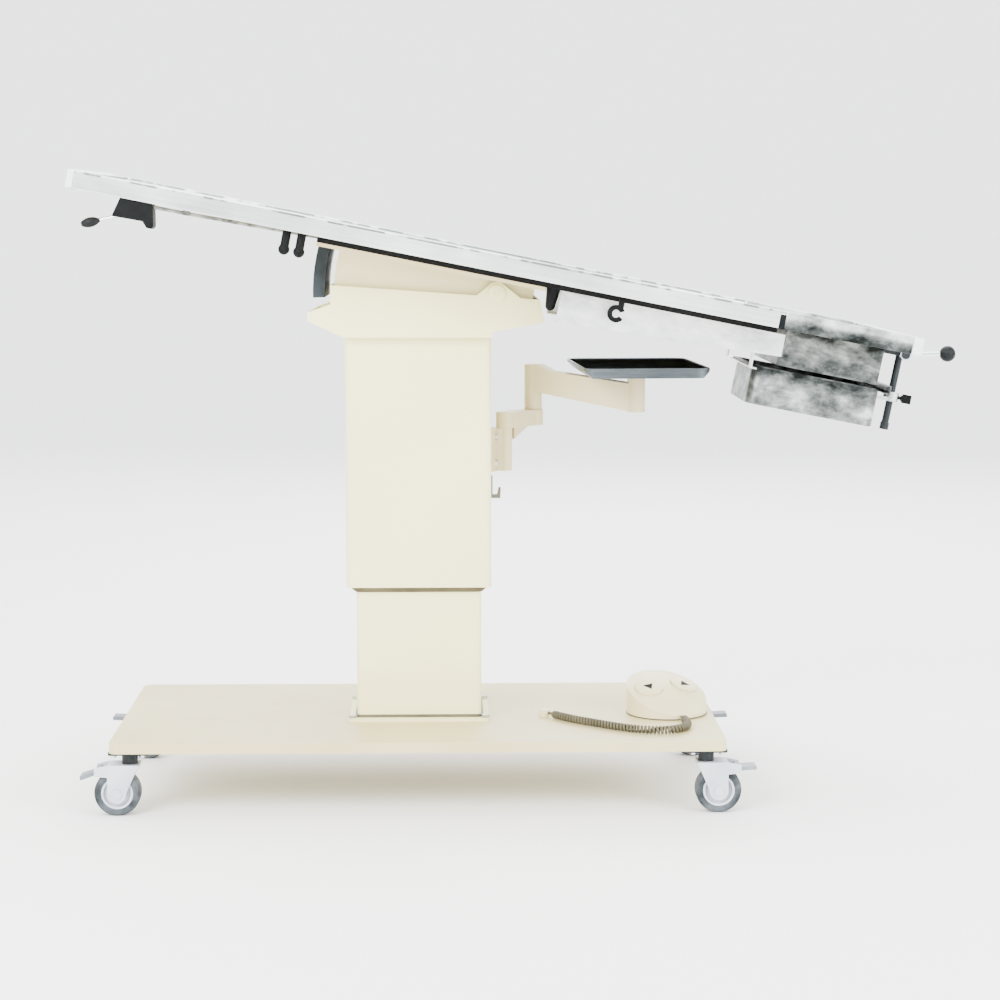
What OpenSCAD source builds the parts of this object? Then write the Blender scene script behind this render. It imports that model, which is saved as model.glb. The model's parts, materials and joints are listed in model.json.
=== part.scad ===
// Veterinary examination table: lifting column on a castored base, tilting stainless top.
// Frame: origin on the floor under the middle of the whole table, +X towards the drain end,
// -Y towards the user, +Z up. All sizes in millimetres, angles in degrees.

/* [Base] */
// Length of the base plate
base_len = 1000; // [900:10:1100]
// Width of the base plate
base_wid = 500; // [460:10:560]
// Thickness of the base plate
base_thk = 17; // [14:1:22]
// Corner radius of the base plate
base_corner = 14; // [8:1:30]
// Place of the column's axis along the table, from the middle of the overall length
column_x = -176.7; // [-190:1:-160]

/* [Casters] */
// Height from the floor to the underside of the base plate
caster_h = 108; // [106:1:114]
// Wheel diameter
wheel_d = 75; // [72:1:76]
// Width of the tyre
wheel_w = 30; // [26:1:32]
// Diameter of the wheel's hub
hub_d = 52; // [46:1:56]
// Distance from the swivel axis to the axle
trail = 20; // [17:1:22]
// Swivel axis from the end of the base plate
caster_inset_x = 30; // [26:1:60]
// Swivel axis from the side of the base plate
caster_inset_y = 40; // [36:1:60]
// Side of the square mounting plate of a caster
plate_side = 64; // [58:1:70]
// Reach of a brake pedal beyond its pin
pedal_reach = 32; // [26:1:40]

/* [Column] */
// Width of the lower column, along the table
column_w = 209; // [200:1:214]
// Depth of the lower column, across the table
column_dep = 150; // [144:1:156]
// Wall of the lower column
column_wall = 4; // [3:0.5:6]
// Gap between the lower column and the sleeve's wall, along the table
glide_gap_x = 12.5; // [11:0.5:14]
// Gap between the lower column and the sleeve's wall, across the table
glide_gap_y = 11; // [10:0.5:12]
// Wall of the outer sleeve
sleeve_wall = 4; // [3:0.5:5]
// Length of the outer sleeve
sleeve_len = 418; // [400:1:440]
// Thickness of the foot flange
flange_thk = 6; // [4:1:8]
// Margin of the foot flange round the column
flange_margin = 13; // [12:1:16]
// Height of the lift above its lowest position, as drawn
lift_rest = 205; // [190:1:215]
// Diameter of the lift actuator's rod
lift_rod_d = 36; // [30:1:40]

/* [Head] */
// Depth of the head housing, across the table
head_dep = 220; // [212:1:230]
// Wall of the head housing
head_wall = 5; // [4:0.5:6]
// Thickness of the head's floor
head_floor = 12; // [10:1:14]
// Tilt pivot from the column's axis, along the table
pivot_x = 130; // [128:1:132]
// Tilt pivot above the top of the sleeve
pivot_up = 73; // [72:1:76]
// Diameter of the pivot shaft
shaft_d = 16; // [14:1:18]
// Tilt of the tabletop as drawn, head end up
tilt = 11.2; // [10:0.1:12]

/* [Tabletop] */
// Width of the tabletop
top_wid = 500; // [460:10:540]
// Thickness of the tabletop's edge
top_thk = 28; // [24:1:34]
// Tabletop from the pivot to the head end
top_head = 690; // [640:10:740]
// Tabletop from the pivot to the drain end
top_foot = 662; // [655:1:680]
// Underside of the tabletop above the pivot
top_rise = 36; // [35:1:40]
// Thickness of the stainless sheet
sheet = 2.5; // [2:0.5:4]
// Width of the raised rim round the top
rim_wid = 22; // [16:1:30]
// Depth of the dished field below the rim
rim_drop = 6; // [4:1:9]
// Seam between the main panel and the drain section, from the pivot
seam_x = 450; // [440:1:452]
// Height of the two frame rails
rail_h = 10; // [9:1:12]
// Width of a frame rail
rail_w = 26; // [20:1:30]
// Inner face of a frame rail from the middle of the table
rail_y = 150; // [140:1:160]

/* [Drain] */
// Start of the basin from the pivot
basin_x = 470; // [465:1:480]
// Length of the basin
basin_len = 170; // [164:1:176]
// Half width of the basin
basin_half = 140; // [120:1:145]
// Underside of the basin below the pivot
basin_low = 26; // [22:1:27]
// Length of the drain pan's body
pan_len = 215; // [205:1:218]
// Width of the drain pan, across the table
pan_wid = 230; // [200:1:250]
// Depth of the drain pan
pan_dep = 64; // [50:1:70]
// Rim of the drain pan below the pivot
pan_low = 33; // [32:1:36]
// Diameter of the hanger rod
hanger_d = 12; // [10:1:14]

/* [Instrument tray] */
// Length of the tray, along the table
tray_len = 207; // [190:1:212]
// Width of the tray, across the table
tray_wid = 300; // [260:5:310]
// Height of the tray's rim
tray_h = 16; // [15:1:20]
// Top of the tray below the top of the sleeve
tray_drop = 47; // [44:1:60]
// Width of the tray's arms
arm_w = 30; // [28:1:34]
// Thickness of the lower arm
lower_arm_h = 27; // [22:1:30]
// Depth of the upper arm's beam
upper_arm_h = 45; // [38:1:48]
// Fall of the upper arm from the elbow to the tray
upper_arm_fall = 28; // [20:1:30]

/* [Foot switch] */
// Diameter of the foot switch
switch_d = 136; // [124:1:140]
// Height of the middle of its face above the base plate
switch_h = 48; // [46:1:56]
// Slope of its face towards the user
switch_slope = 21; // [16:1:23]
// Radius of its domed face
dome_r = 220; // [180:5:300]
// Diameter of a press pad
pad_d = 46; // [40:1:50]
// Diameter of the switch cord's wire
wire_d = 4.5; // [4:0.1:5]
// Outer diameter of the switch cord's curls
curl_d = 14; // [13:0.5:18]
// Distance between two curls along the cord
curl_pitch = 6.2; // [6:0.1:8]

/* [Hidden] */

$fn = 64;
cream = "#efecdc";
beige = "#e6dfce";
arm_beige = "#ddd5c5";
steel = "#c9cdcd";
pan_steel = "#8f9896";
black = "#262b2e";
caster_grey = "#d3d6dc";
tyre_grey = "#55595c";

// Clearances
run = 0.06;       // radial, of a pin or shaft that turns in its bore
fixed_fit = 0.03; // radial, of a bolt or shaft that is fixed in its hole
part_gap = 0.3;   // between faces that slide past each other
eps = 0.01;       // how far a cut runs past the face that it opens

// Base and column levels
base_top = caster_h + base_thk;
flange_top = base_top + flange_thk;
sleeve_low_gap = 17; // sleeve above the foot flange at the lowest position
column_clear = 5;    // column's top below the head at the lowest position
sleeve_z = flange_top + sleeve_low_gap + lift_rest;
head_z = sleeve_z + sleeve_len;
column_h = sleeve_len + sleeve_low_gap - column_clear;
sleeve_w = column_w + 2 * (sleeve_wall + glide_gap_x);
sleeve_dep = column_dep + 2 * (sleeve_wall + glide_gap_y);
pivot_z = head_z + pivot_up;
head_floor_z = head_z + head_floor;

// Places a piece in the column's frame, or in the tilted frame of the tabletop
module on_column() translate([column_x, 0, 0]) children();
module on_table() on_column() translate([pivot_x, 0, pivot_z]) rotate([0, tilt, 0]) children();
// Draws an outline of X and Z, and gives it a width across the table
module across(wid, y = 0) translate([0, y, 0]) rotate([90, 0, 0])
    linear_extrude(wid, center = true) children();
// A cylinder across the table through a point of X and Z
module cross_pin(p, r, wid, y = 0) translate([p[0], y, p[1]]) rotate([90, 0, 0])
    cylinder(h = wid, r = r, center = true);
// A cylinder along the table that starts at x
module long_pin(x, y, z, r, len) translate([x, y, z]) rotate([0, 90, 0]) cylinder(h = len, r = r);
// Both sides of the table
module both_sides() for (side = [-1, 1]) scale_y(side) children();
module scale_y(side) if (side < 0) children(); else mirror([0, 1, 0]) children();

module rounded_rect(len, wid, r) {
    square([len - 2 * r, wid], center = true);
    square([len, wid - 2 * r], center = true);
    for (x = [-1, 1], y = [-1, 1])
        translate([x * (len / 2 - r), y * (wid / 2 - r)]) circle(r);
}
module slab(len, wid, thk, r) linear_extrude(thk) rounded_rect(len, wid, r);
module rect_tube(len, wid, h, wall, r) difference() {
    slab(len, wid, h, r);
    translate([0, 0, -eps]) slab(len - 2 * wall, wid - 2 * wall, h + 2 * eps, r - wall);
}
// A hexagon-head bolt, head on top at z = 0, shank below
module bolt(d, len, head_h) {
    translate([0, 0, -len]) cylinder(h = len + eps, r = d / 2);
    cylinder(h = head_h, r = d * 0.9, $fn = 6);
}
// A rod through a list of points
module bent_rod(points, r) {
    for (i = [0 : len(points) - 2]) {
        v = points[i + 1] - points[i];
        translate(points[i])
            rotate([0, acos(v[2] / norm(v)), atan2(v[1], v[0])]) cylinder(h = norm(v), r = r, $fn = 24);
    }
}

// Base plate, with holes for the casters' and the flange's bolts
caster_x = base_len / 2 - caster_inset_x;
caster_y = base_wid / 2 - caster_inset_y;
plate_bolt_d = 6;
plate_bolt_at = plate_side / 2 - 8;
plate_bolt_depth = 10;
flange_bolt_d = 8;
flange_bolt_depth = 11;
flange_bolt_x = column_w / 2 + flange_margin / 2;
flange_bolt_y = column_dep / 2 + flange_margin / 2;

module at_casters() for (x = [-1, 1], y = [-1, 1]) translate([x * caster_x, y * caster_y, 0]) children();
module at_plate_bolts() at_casters()
    for (x = [-1, 1], y = [-1, 1]) translate([x * plate_bolt_at, y * plate_bolt_at, 0]) children();
module at_flange_bolts() for (x = [-1, 1], y = [-1, 1])
    translate([x * flange_bolt_x, y * flange_bolt_y, 0]) children();

module base_plate() color(beige) on_column() difference() {
    translate([0, 0, caster_h]) slab(base_len, base_wid, base_thk, base_corner);
    at_plate_bolts() translate([0, 0, caster_h - eps])
        cylinder(h = plate_bolt_depth, r = plate_bolt_d / 2 + fixed_fit);
    at_flange_bolts() translate([0, 0, base_top - flange_bolt_depth])
        cylinder(h = flange_bolt_depth + eps, r = flange_bolt_d / 2 + fixed_fit);
}
flange_len = column_w + 2 * flange_margin;
flange_wid = column_dep + 2 * flange_margin;
module base_fasteners() color("gray") on_column() {
    at_plate_bolts() translate([0, 0, caster_h - caster_plate_thk]) mirror([0, 0, 1])
        bolt(plate_bolt_d, caster_plate_thk + plate_bolt_depth - 1, 4);
    at_flange_bolts() translate([0, 0, flange_top])
        bolt(flange_bolt_d, flange_thk + flange_bolt_depth - 1, 5);
}

// Casters. Each is drawn with its swivel axis at the origin and its trail along +X
caster_plate_thk = 4;
stem_d = 26;     // swivel stem between the mounting plate and the fork
kingpin_d = 10;
kingpin_head_h = 2.4;
crown_gap = 4;   // crown of the fork above the tyre
crown_thk = 6;
leg_thk = 3.5;
leg_gap = 2;     // leg beside the tyre
axle_d = 8;
pedal_pin_d = 7;
pedal_thk = 6;
axle_z = wheel_d / 2;
crown_z = wheel_d + crown_gap;
crown_top = crown_z + crown_thk;
fork_half = wheel_w / 2 + leg_gap + leg_thk;
leg_r = 15;
pedal_pin_x = trail + axle_z - 7.5;
pedal_pin_z = wheel_d - 2;
stem_z = crown_top + part_gap;
kingpin_z = crown_z - part_gap - kingpin_head_h;

module caster_plates() color("#4a4f52") on_column() at_casters() {
    difference() {
        translate([0, 0, caster_h - caster_plate_thk]) slab(plate_side, plate_side, caster_plate_thk, 4);
        for (x = [-1, 1], y = [-1, 1])
            translate([x * plate_bolt_at, y * plate_bolt_at, caster_h - caster_plate_thk - eps])
                cylinder(h = caster_plate_thk + 2 * eps, r = plate_bolt_d / 2 + fixed_fit);
    }
    translate([0, 0, stem_z]) cylinder(h = caster_h - caster_plate_thk / 2 - stem_z, r = stem_d / 2);
    translate([0, 0, kingpin_z]) cylinder(h = stem_z - kingpin_z + 1, r = kingpin_d / 2);
    translate([0, 0, kingpin_z]) cylinder(h = kingpin_head_h, r = kingpin_d / 2 + 3);
}
module leg_outline() {
    translate([trail, axle_z]) circle(leg_r);
    polygon([
        [trail - leg_r, axle_z], [-16, crown_top], [trail + leg_r, crown_top], [trail + leg_r, axle_z]
    ]);
}
module fork() {
    difference() {
        union() {
            both_sides() across(leg_thk, -fork_half + leg_thk / 2) leg_outline();
            across(2 * fork_half) polygon([
                [-16, crown_z], [-16, crown_top], [trail + leg_r, crown_top], [trail + leg_r, crown_z]
            ]);
            both_sides() across(leg_thk, -fork_half + leg_thk / 2) polygon([
                [trail + leg_r - 1, crown_z - 14], [trail + leg_r - 1, crown_top],
                [pedal_pin_x + 6, pedal_pin_z + 7], [pedal_pin_x + 6, pedal_pin_z - 6]
            ]);
        }
        translate([0, 0, crown_z - eps]) cylinder(h = caster_h, r = kingpin_d / 2 + run);
    }
    cross_pin([trail, axle_z], axle_d / 2, 2 * fork_half + 4);
    both_sides() cross_pin([trail, axle_z], axle_d, 3, -fork_half - 1.5);
    cross_pin([pedal_pin_x, pedal_pin_z], pedal_pin_d / 2, 2 * fork_half);
}
module hub() translate([trail, 0, axle_z]) rotate([90, 0, 0]) difference() {
    cylinder(h = wheel_w, r = hub_d / 2, center = true);
    for (side = [-1, 1]) translate([0, 0, side * wheel_w / 2]) difference() {
        cylinder(h = wheel_w * 0.4, r = hub_d / 2 - 4, center = true);
        cylinder(h = wheel_w, r = axle_d / 2 + 6, center = true);
    }
    cylinder(h = wheel_w + 2, r = axle_d / 2 + run, center = true);
}
tyre_round = 5;
module tyre() translate([trail, 0, axle_z]) rotate([90, 0, 0]) rotate_extrude() {
    translate([hub_d / 2, -wheel_w / 2]) square([axle_z - hub_d / 2 - tyre_round, wheel_w]);
    translate([axle_z - tyre_round - eps, -wheel_w / 2 + tyre_round])
        square([tyre_round + eps, wheel_w - 2 * tyre_round]);
    for (side = [-1, 1]) translate([axle_z - tyre_round, side * (wheel_w / 2 - tyre_round)]) intersection() {
        circle(tyre_round);
        translate([0, -tyre_round]) square([tyre_round, 2 * tyre_round]);
    }
}
pedal_half = wheel_w / 2 - 1;
module pedal(angle) translate([pedal_pin_x, 0, pedal_pin_z]) rotate([0, -angle, 0]) difference() {
    union() {
        cross_pin([0, 0], pedal_pin_d / 2 + 3, 2 * pedal_half);
        across(2 * pedal_half) polygon([
            [0, -pedal_thk / 2], [0, pedal_thk / 2], [pedal_reach - 2, pedal_thk / 2 + 1],
            [pedal_reach, pedal_thk / 2 - 1], [pedal_reach, -pedal_thk / 2]
        ]);
    }
    cross_pin([0, 0], pedal_pin_d / 2 + run, 2 * pedal_half + 2);
}
pedal_up = 2;        // slope of a raised pedal
pedal_pressed = -20; // slope of a pressed pedal
// Trail of each caster points out past its end of the base plate
module to_caster(end, side) on_column() translate([end * caster_x, side * caster_y, 0])
    rotate([0, 0, end < 0 ? 180 : 0]) children();

module caster_fork_head_near() color(caster_grey) to_caster(-1, -1) fork();
module caster_hub_head_near() color(caster_grey) to_caster(-1, -1) hub();
module caster_tyre_head_near() color(tyre_grey) to_caster(-1, -1) tyre();
module brake_pedal_head_near() color("#a9abb2") to_caster(-1, -1) pedal(pedal_pressed);
module caster_fork_head_far() color(caster_grey) to_caster(-1, 1) fork();
module caster_hub_head_far() color(caster_grey) to_caster(-1, 1) hub();
module caster_tyre_head_far() color(tyre_grey) to_caster(-1, 1) tyre();
module brake_pedal_head_far() color("#a9abb2") to_caster(-1, 1) pedal(pedal_up);
module caster_fork_drain_near() color(caster_grey) to_caster(1, -1) fork();
module caster_hub_drain_near() color(caster_grey) to_caster(1, -1) hub();
module caster_tyre_drain_near() color(tyre_grey) to_caster(1, -1) tyre();
module brake_pedal_drain_near() color("#a9abb2") to_caster(1, -1) pedal(pedal_up);
module caster_fork_drain_far() color(caster_grey) to_caster(1, 1) fork();
module caster_hub_drain_far() color(caster_grey) to_caster(1, 1) hub();
module caster_tyre_drain_far() color(tyre_grey) to_caster(1, 1) tyre();
module brake_pedal_drain_far() color("#a9abb2") to_caster(1, 1) pedal(pedal_up);

// Lower column with the lift actuator inside
column_round = 8;
motor_h = 65;
motor_side = 90;
tube_wall = 6;
tube_low = 8;        // actuator's tube below the column's top
rod_floor_gap = 6;   // rod above the motor at the lowest position
rod_flange_d = 64;
rod_flange_thk = 6;
module lower_column() color(cream) on_column() difference() {
    union() {
        translate([0, 0, base_top]) slab(flange_len, flange_wid, flange_thk, 5);
        translate([0, 0, base_top + 1]) slab(column_w, column_dep, column_h + flange_thk - 1, column_round);
    }
    translate([0, 0, flange_top]) slab(column_w - 2 * column_wall, column_dep - 2 * column_wall,
        column_h + 1, column_round - column_wall);
    at_flange_bolts() translate([0, 0, base_top - eps])
        cylinder(h = flange_thk + 2 * eps, r = flange_bolt_d / 2 + fixed_fit);
}
module lift_actuator() color("#9aa0a3") on_column() difference() {
    union() {
        translate([0, 0, flange_top]) slab(motor_side, motor_side, motor_h, 8);
        translate([0, 0, flange_top + motor_h - eps])
            cylinder(h = column_h - motor_h - tube_low, r = lift_rod_d / 2 + tube_wall);
    }
    translate([0, 0, flange_top + motor_h])
        cylinder(h = column_h, r = lift_rod_d / 2 + run);
}
module lift_rod() color("silver") on_column() difference() {
    union() {
        translate([0, 0, flange_top + motor_h + rod_floor_gap + lift_rest])
            cylinder(h = sleeve_len + sleeve_low_gap - motor_h - rod_floor_gap, r = lift_rod_d / 2);
        translate([0, 0, head_z - rod_flange_thk]) cylinder(h = rod_flange_thk, r = rod_flange_d / 2);
    }
    at_rod_screws() translate([0, 0, head_z - rod_flange_thk - eps])
        cylinder(h = rod_flange_thk + 2 * eps, r = rod_screw_d / 2 + fixed_fit);
}
rod_screw_d = 6;
module at_rod_screws() for (a = [45 : 90 : 315]) rotate([0, 0, a])
    translate([rod_flange_d / 2 - 7, 0, 0]) children();

// Control box behind the column, with a bare appliance inlet in its rear face
box_len = 100;
box_dep = 56;
box_h = 66;
box_gap = 4; // clear of the sleeve at its lowest position
inlet_w = 28;
inlet_h = 20;
inlet_deep = 16;
inlet_z = 24;
box_y = sleeve_dep / 2 + box_gap;
module control_box() color("#d8d3c6") on_column() {
    difference() {
        translate([0, box_y + box_dep / 2, base_top]) slab(box_len, box_dep, box_h, 6);
        translate([-inlet_w / 2, box_y + box_dep - inlet_deep, base_top + inlet_z])
            cube([inlet_w, inlet_deep + 1, inlet_h]);
    }
    for (x = [-7, 0, 7]) translate([x - 1, box_y + box_dep - inlet_deep - eps, base_top + inlet_z + 8])
        cube([2, 7, 4]);
}

// Outer sleeve, its glide strips, and the head housing welded on top
bracket_bolt_d = 6;
module outer_sleeve() color(cream) on_column() difference() {
    translate([0, 0, sleeve_z]) rect_tube(sleeve_w, sleeve_dep, sleeve_len, sleeve_wall, 10);
    at_bracket_bolts() long_pin(-sleeve_wall - 1, 0, 0, bracket_bolt_d / 2 + fixed_fit, sleeve_wall + 2);
}
strip_low = 5;
strip_len = 200;
strip_w = 40;
module glide_strips() color("ivory") on_column() for (side = [-1, 1]) {
    for (y = [-1, 1]) translate([
        side > 0 ? column_w / 2 + part_gap : -sleeve_w / 2 + sleeve_wall,
        y * column_dep / 4 - strip_w / 2, sleeve_z + strip_low
    ]) cube([glide_gap_x - part_gap, strip_w, strip_len]);
    for (x = [-1, 1]) translate([
        x * column_w / 4 - strip_w / 2,
        side > 0 ? column_dep / 2 + part_gap : -sleeve_dep / 2 + sleeve_wall, sleeve_z + strip_low
    ]) cube([strip_w, glide_gap_y - part_gap, strip_len]);
}

// Head housing outline in X and Z above the sleeve's top: an open tub with a flared lip at its
// left end, through which the tilt shield passes
head_left = -143;
head_right = 200;
head_left_h = 86;
head_right_h = 62;
lip_x = -181;
lip_low = 27;
lip_high = 41;
flare_right = 209;
flare_low = 24;
shield_r = 302;
shield_thk = 20;
shield_half = 95;
slot_gap = 2.5;
spring_foot = [85, head_floor_z + 17];
clevis_gap = 8.5;
clevis_thk = 5;
spring_pin_d = 8;
module head_outline() translate([0, head_z]) polygon([
    [-sleeve_w / 2, 0], [lip_x, lip_low], [lip_x, lip_high], [head_left, head_left_h - 31],
    [head_left, head_left_h], [head_right, head_right_h], [flare_right, flare_low],
    [sleeve_w / 2, head_floor - 3], [sleeve_w / 2, 0]
]);
module head_cavity() translate([0, head_z]) polygon([
    [head_left + head_wall, head_floor + 7], [head_left + head_wall + 16, head_floor],
    [sleeve_w / 2, head_floor], [sleeve_w / 2 + 5, head_floor + 4],
    [flare_right - head_wall - 1, flare_low + head_wall + 1],
    [head_right - head_wall, head_right_h], [head_right - head_wall, 130],
    [head_left + head_wall, 130]
]);
module ring_2d(r_out, r_in) difference() {
    circle(r_out, $fn = 200);
    circle(r_in, $fn = 200);
}
module head_housing() color(cream) on_column() difference() {
    union() {
        difference() {
            across(head_dep) head_outline();
            across(head_dep - 2 * head_wall) head_cavity();
        }
        for (side = [-1, 1]) across(clevis_thk, side * (clevis_gap + clevis_thk / 2)) {
            translate(spring_foot) circle(10);
            translate([spring_foot[0] - 10, head_floor_z - 1])
                square([20, spring_foot[1] - head_floor_z + 1]);
        }
        for (side = [-1, 1]) across(ear_thk, side * (head_dep - ear_thk) / 2) {
            translate([pivot_x, pivot_z]) circle(bush_r + 6);
            polygon([
                [pivot_x - ear_half, pivot_z - ear_drop], [pivot_x - 7, pivot_z + bush_r + 5],
                [pivot_x + 7, pivot_z + bush_r + 5], [pivot_x + ear_half, pivot_z - ear_drop]
            ]);
        }
    }
    across(2 * (shield_half + slot_gap)) translate([pivot_x, pivot_z]) intersection() {
        ring_2d(shield_r + slot_gap, shield_r - shield_thk - slot_gap);
        translate([-shield_r - 20, -150]) square([100, 200]);
    }
    cross_pin([pivot_x, pivot_z], bush_r + fixed_fit, head_dep + 2);
    cross_pin(spring_foot, spring_pin_d / 2 + fixed_fit, 60);
    at_rod_screws() translate([0, 0, head_z - eps])
        cylinder(h = head_floor + 1, r = rod_screw_d / 2 + fixed_fit);
}
bush_wall = 4;
bush_boss = 3;
ear_thk = head_wall + bush_boss;
ear_drop = 14;
ear_half = 46;   // half width of the ear round the pivot, at the housing's top edge
bush_r = shaft_d / 2 + bush_wall;
module pivot_bushes() color("#b08d57") on_column() for (side = [-1, 1]) difference() {
    cross_pin([pivot_x, pivot_z], bush_r, ear_thk, side * (head_dep - ear_thk) / 2);
    cross_pin([pivot_x, pivot_z], shaft_d / 2 + run, head_dep + 2);
}
module head_fasteners() color("gray") on_column() {
    at_rod_screws() translate([0, 0, head_floor_z]) bolt(rod_screw_d, head_floor + rod_flange_thk, 4);
    at_bracket_bolts() translate([bracket_web, 0, 0]) rotate([0, 90, 0])
        bolt(bracket_bolt_d, bracket_web + sleeve_wall, 4);
    cross_pin(spring_foot, spring_pin_d / 2, 2 * (clevis_gap + clevis_thk));
}

// Gas spring between the head and the cradle: it holds the tabletop's tilt
spring_top = [-200, 2]; // in the tabletop's frame
spring_head = [
    pivot_x + spring_top[0] * cos(tilt) + spring_top[1] * sin(tilt),
    pivot_z - spring_top[0] * sin(tilt) + spring_top[1] * cos(tilt)
];
spring_vec = spring_head - spring_foot;
spring_len = norm(spring_vec);
spring_angle = atan2(spring_vec[1], spring_vec[0]);
spring_body_d = 22;
spring_rod_d = 9;
spring_body_start = 12;
spring_body_len = 102;
spring_rod_in = 70; // length of the rod inside the cylinder
eye_r = 8;
open_eye_r = 6;     // bore of the eye at the cradle's pin, wide enough for the closed linkage
module on_spring() on_column() translate([spring_foot[0], 0, spring_foot[1]])
    rotate([0, -spring_angle, 0]) children();
module gas_spring_cylinder() color("#33383b") on_spring() difference() {
    union() {
        cross_pin([0, 0], eye_r, 2 * clevis_gap - 1);
        long_pin(0, 0, 0, eye_r - 2, spring_body_start + 1);
        long_pin(spring_body_start, 0, 0, spring_body_d / 2, spring_body_len);
    }
    cross_pin([0, 0], spring_pin_d / 2 + run, 60);
    long_pin(spring_body_start + 4, 0, 0, spring_rod_d / 2 + run, spring_body_len);
}
module gas_spring_rod() color("silver") on_spring() difference() {
    union() {
        long_pin(spring_body_start + spring_body_len - spring_rod_in, 0, 0, spring_rod_d / 2,
            spring_len - spring_body_start - spring_body_len + spring_rod_in - open_eye_r - 1);
        cross_pin([spring_len, 0], open_eye_r + 3, 9);
    }
    cross_pin([spring_len, 0], open_eye_r, 12);
}

// Instrument tray on its two-piece swinging arm, beside the sleeve
tray_top = head_z - tray_drop;
tray_at = [366, -30];
tray_turn = 3;
bracket_reach = 25; // bracket's pin from the sleeve
bracket_pin = [sleeve_w / 2 + bracket_reach, 0];
elbow_at = [196, 60];
bracket_h = 72;
bracket_web = 8;
bracket_half = 24;
lower_arm_drop = 111; // lower arm's underside below the tray's top
lower_arm_z = tray_top - lower_arm_drop;
bracket_top = lower_arm_z - part_gap;
elbow_top = lower_arm_z + lower_arm_h;
gusset_h = 20;   // gusset under the lower arm, beyond the bracket
gusset_thk = 14;
arm_pin_d = 18;
elbow_pin_d = 16;
spindle_d = 14;
upper_arm_top = tray_top - 7; // at the elbow
arm_len = norm(tray_at - elbow_at);
arm_angle = atan2(tray_at[1] - elbow_at[1], tray_at[0] - elbow_at[0]);
module at_bracket_bolts() for (z = [14, bracket_h - 14], y = [-1, 1])
    translate([sleeve_w / 2, y * (bracket_half - 7), bracket_top - bracket_h + z]) children();
module tray_bracket() color(arm_beige) on_column() difference() {
    union() {
        translate([sleeve_w / 2 + bracket_web / 2, 0, bracket_top - bracket_h])
            linear_extrude(bracket_h) square([bracket_web, 2 * bracket_half], center = true);
        translate([bracket_pin[0], 0, bracket_top - bracket_h]) cylinder(h = bracket_h, r = arm_w / 2 - 3);
        translate([sleeve_w / 2, -arm_w / 2 + 4, bracket_top - bracket_h])
            cube([bracket_pin[0] - sleeve_w / 2, arm_w - 8, bracket_h]);
    }
    translate([bracket_pin[0], 0, bracket_top - bracket_h + 10])
        cylinder(h = bracket_h, r = arm_pin_d / 2 + run);
    at_bracket_bolts() long_pin(-1, 0, 0, bracket_bolt_d / 2 + fixed_fit, bracket_web + 2);
}
module lower_arm() color(arm_beige) on_column() {
    d = elbow_at - bracket_pin;
    turn = atan2(d[1], d[0]);
    translate([bracket_pin[0], bracket_pin[1], lower_arm_z]) {
        rotate([0, 0, turn]) linear_extrude(lower_arm_h) {
            circle(arm_w / 2);
            translate([0, -arm_w / 2 + 2]) square([norm(d), arm_w - 4]);
            translate([norm(d), 0]) circle(arm_w / 2 + 2);
        }
        rotate([0, 0, turn]) across(gusset_thk) polygon([
            [bracket_half - 7, 6], [bracket_half - 7, -gusset_h], [norm(d) - 20, 1], [norm(d) - 20, 6]
        ]);
        translate([d[0], d[1], lower_arm_h - eps])
            cylinder(h = upper_arm_top - elbow_top - 12, r = elbow_pin_d / 2);
        translate([0, 0, 14 - bracket_h]) cylinder(h = bracket_h - 14 + eps, r = arm_pin_d / 2);
    }
}
upper_arm_end = upper_arm_top - upper_arm_fall;
boss_top = tray_top - tray_h - 5;
arm_step = 36;   // distance from the elbow within which the upper arm steps down to pass under the tray
module upper_arm() color(arm_beige) on_column() translate([elbow_at[0], elbow_at[1], 0])
    rotate([0, 0, arm_angle]) difference() {
        union() {
            translate([0, 0, elbow_top + part_gap])
                cylinder(h = upper_arm_top - elbow_top - part_gap, r = arm_w / 2);
            across(arm_w - 4) polygon([
                [0, upper_arm_top - upper_arm_h], [0, upper_arm_top], [arm_w / 2, upper_arm_top],
                [arm_step, tray_top - tray_h - 1.5], [arm_len, upper_arm_end],
                [arm_len, upper_arm_end - upper_arm_h - 2]
            ]);
            translate([arm_len, 0, upper_arm_end - upper_arm_h - 2])
                cylinder(h = boss_top - part_gap - upper_arm_end + upper_arm_h + 2, r = arm_w / 2);
        }
        translate([0, 0, elbow_top]) cylinder(h = upper_arm_top - elbow_top - 10, r = elbow_pin_d / 2 + run);
        translate([arm_len, 0, upper_arm_end - upper_arm_h + 8]) cylinder(h = 200, r = spindle_d / 2 + run);
    }
tray_floor = 3;
mat_low = 2; // mat below the rim
tray_wall = 3;
tray_round = 22;
tray_lip = 4;    // height of the upright band under the rim
tray_lean = 13;  // how far the tray's ends slope in below that band
module on_tray() on_column() translate([tray_at[0], tray_at[1], 0]) rotate([0, 0, tray_turn]) children();
// The tray's form from a height above its underside, drawn in by a wall on all sides
module tray_form(inset, low, high) translate([0, 0, tray_top - tray_h]) intersection() {
    half = tray_len / 2 - inset;
    translate([0, 0, low]) slab(2 * half, tray_wid - 2 * inset, high - low, tray_round - inset);
    across(tray_wid + 2) polygon([
        [-half + tray_lean, 0], [-half, tray_h - tray_lip], [-half, tray_h + 1],
        [half, tray_h + 1], [half, tray_h - tray_lip], [half - tray_lean, 0]
    ]);
}
module instrument_tray() color(steel) on_tray() {
    difference() {
        tray_form(0, 0, tray_h);
        tray_form(tray_wall, tray_floor, tray_h + 1);
    }
    translate([0, 0, boss_top]) cylinder(h = tray_top - tray_h + 1 - boss_top, r = 24);
    translate([0, 0, upper_arm_end - upper_arm_h + 12])
        cylinder(h = boss_top - upper_arm_end + upper_arm_h - 12 + eps, r = spindle_d / 2);
}
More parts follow.
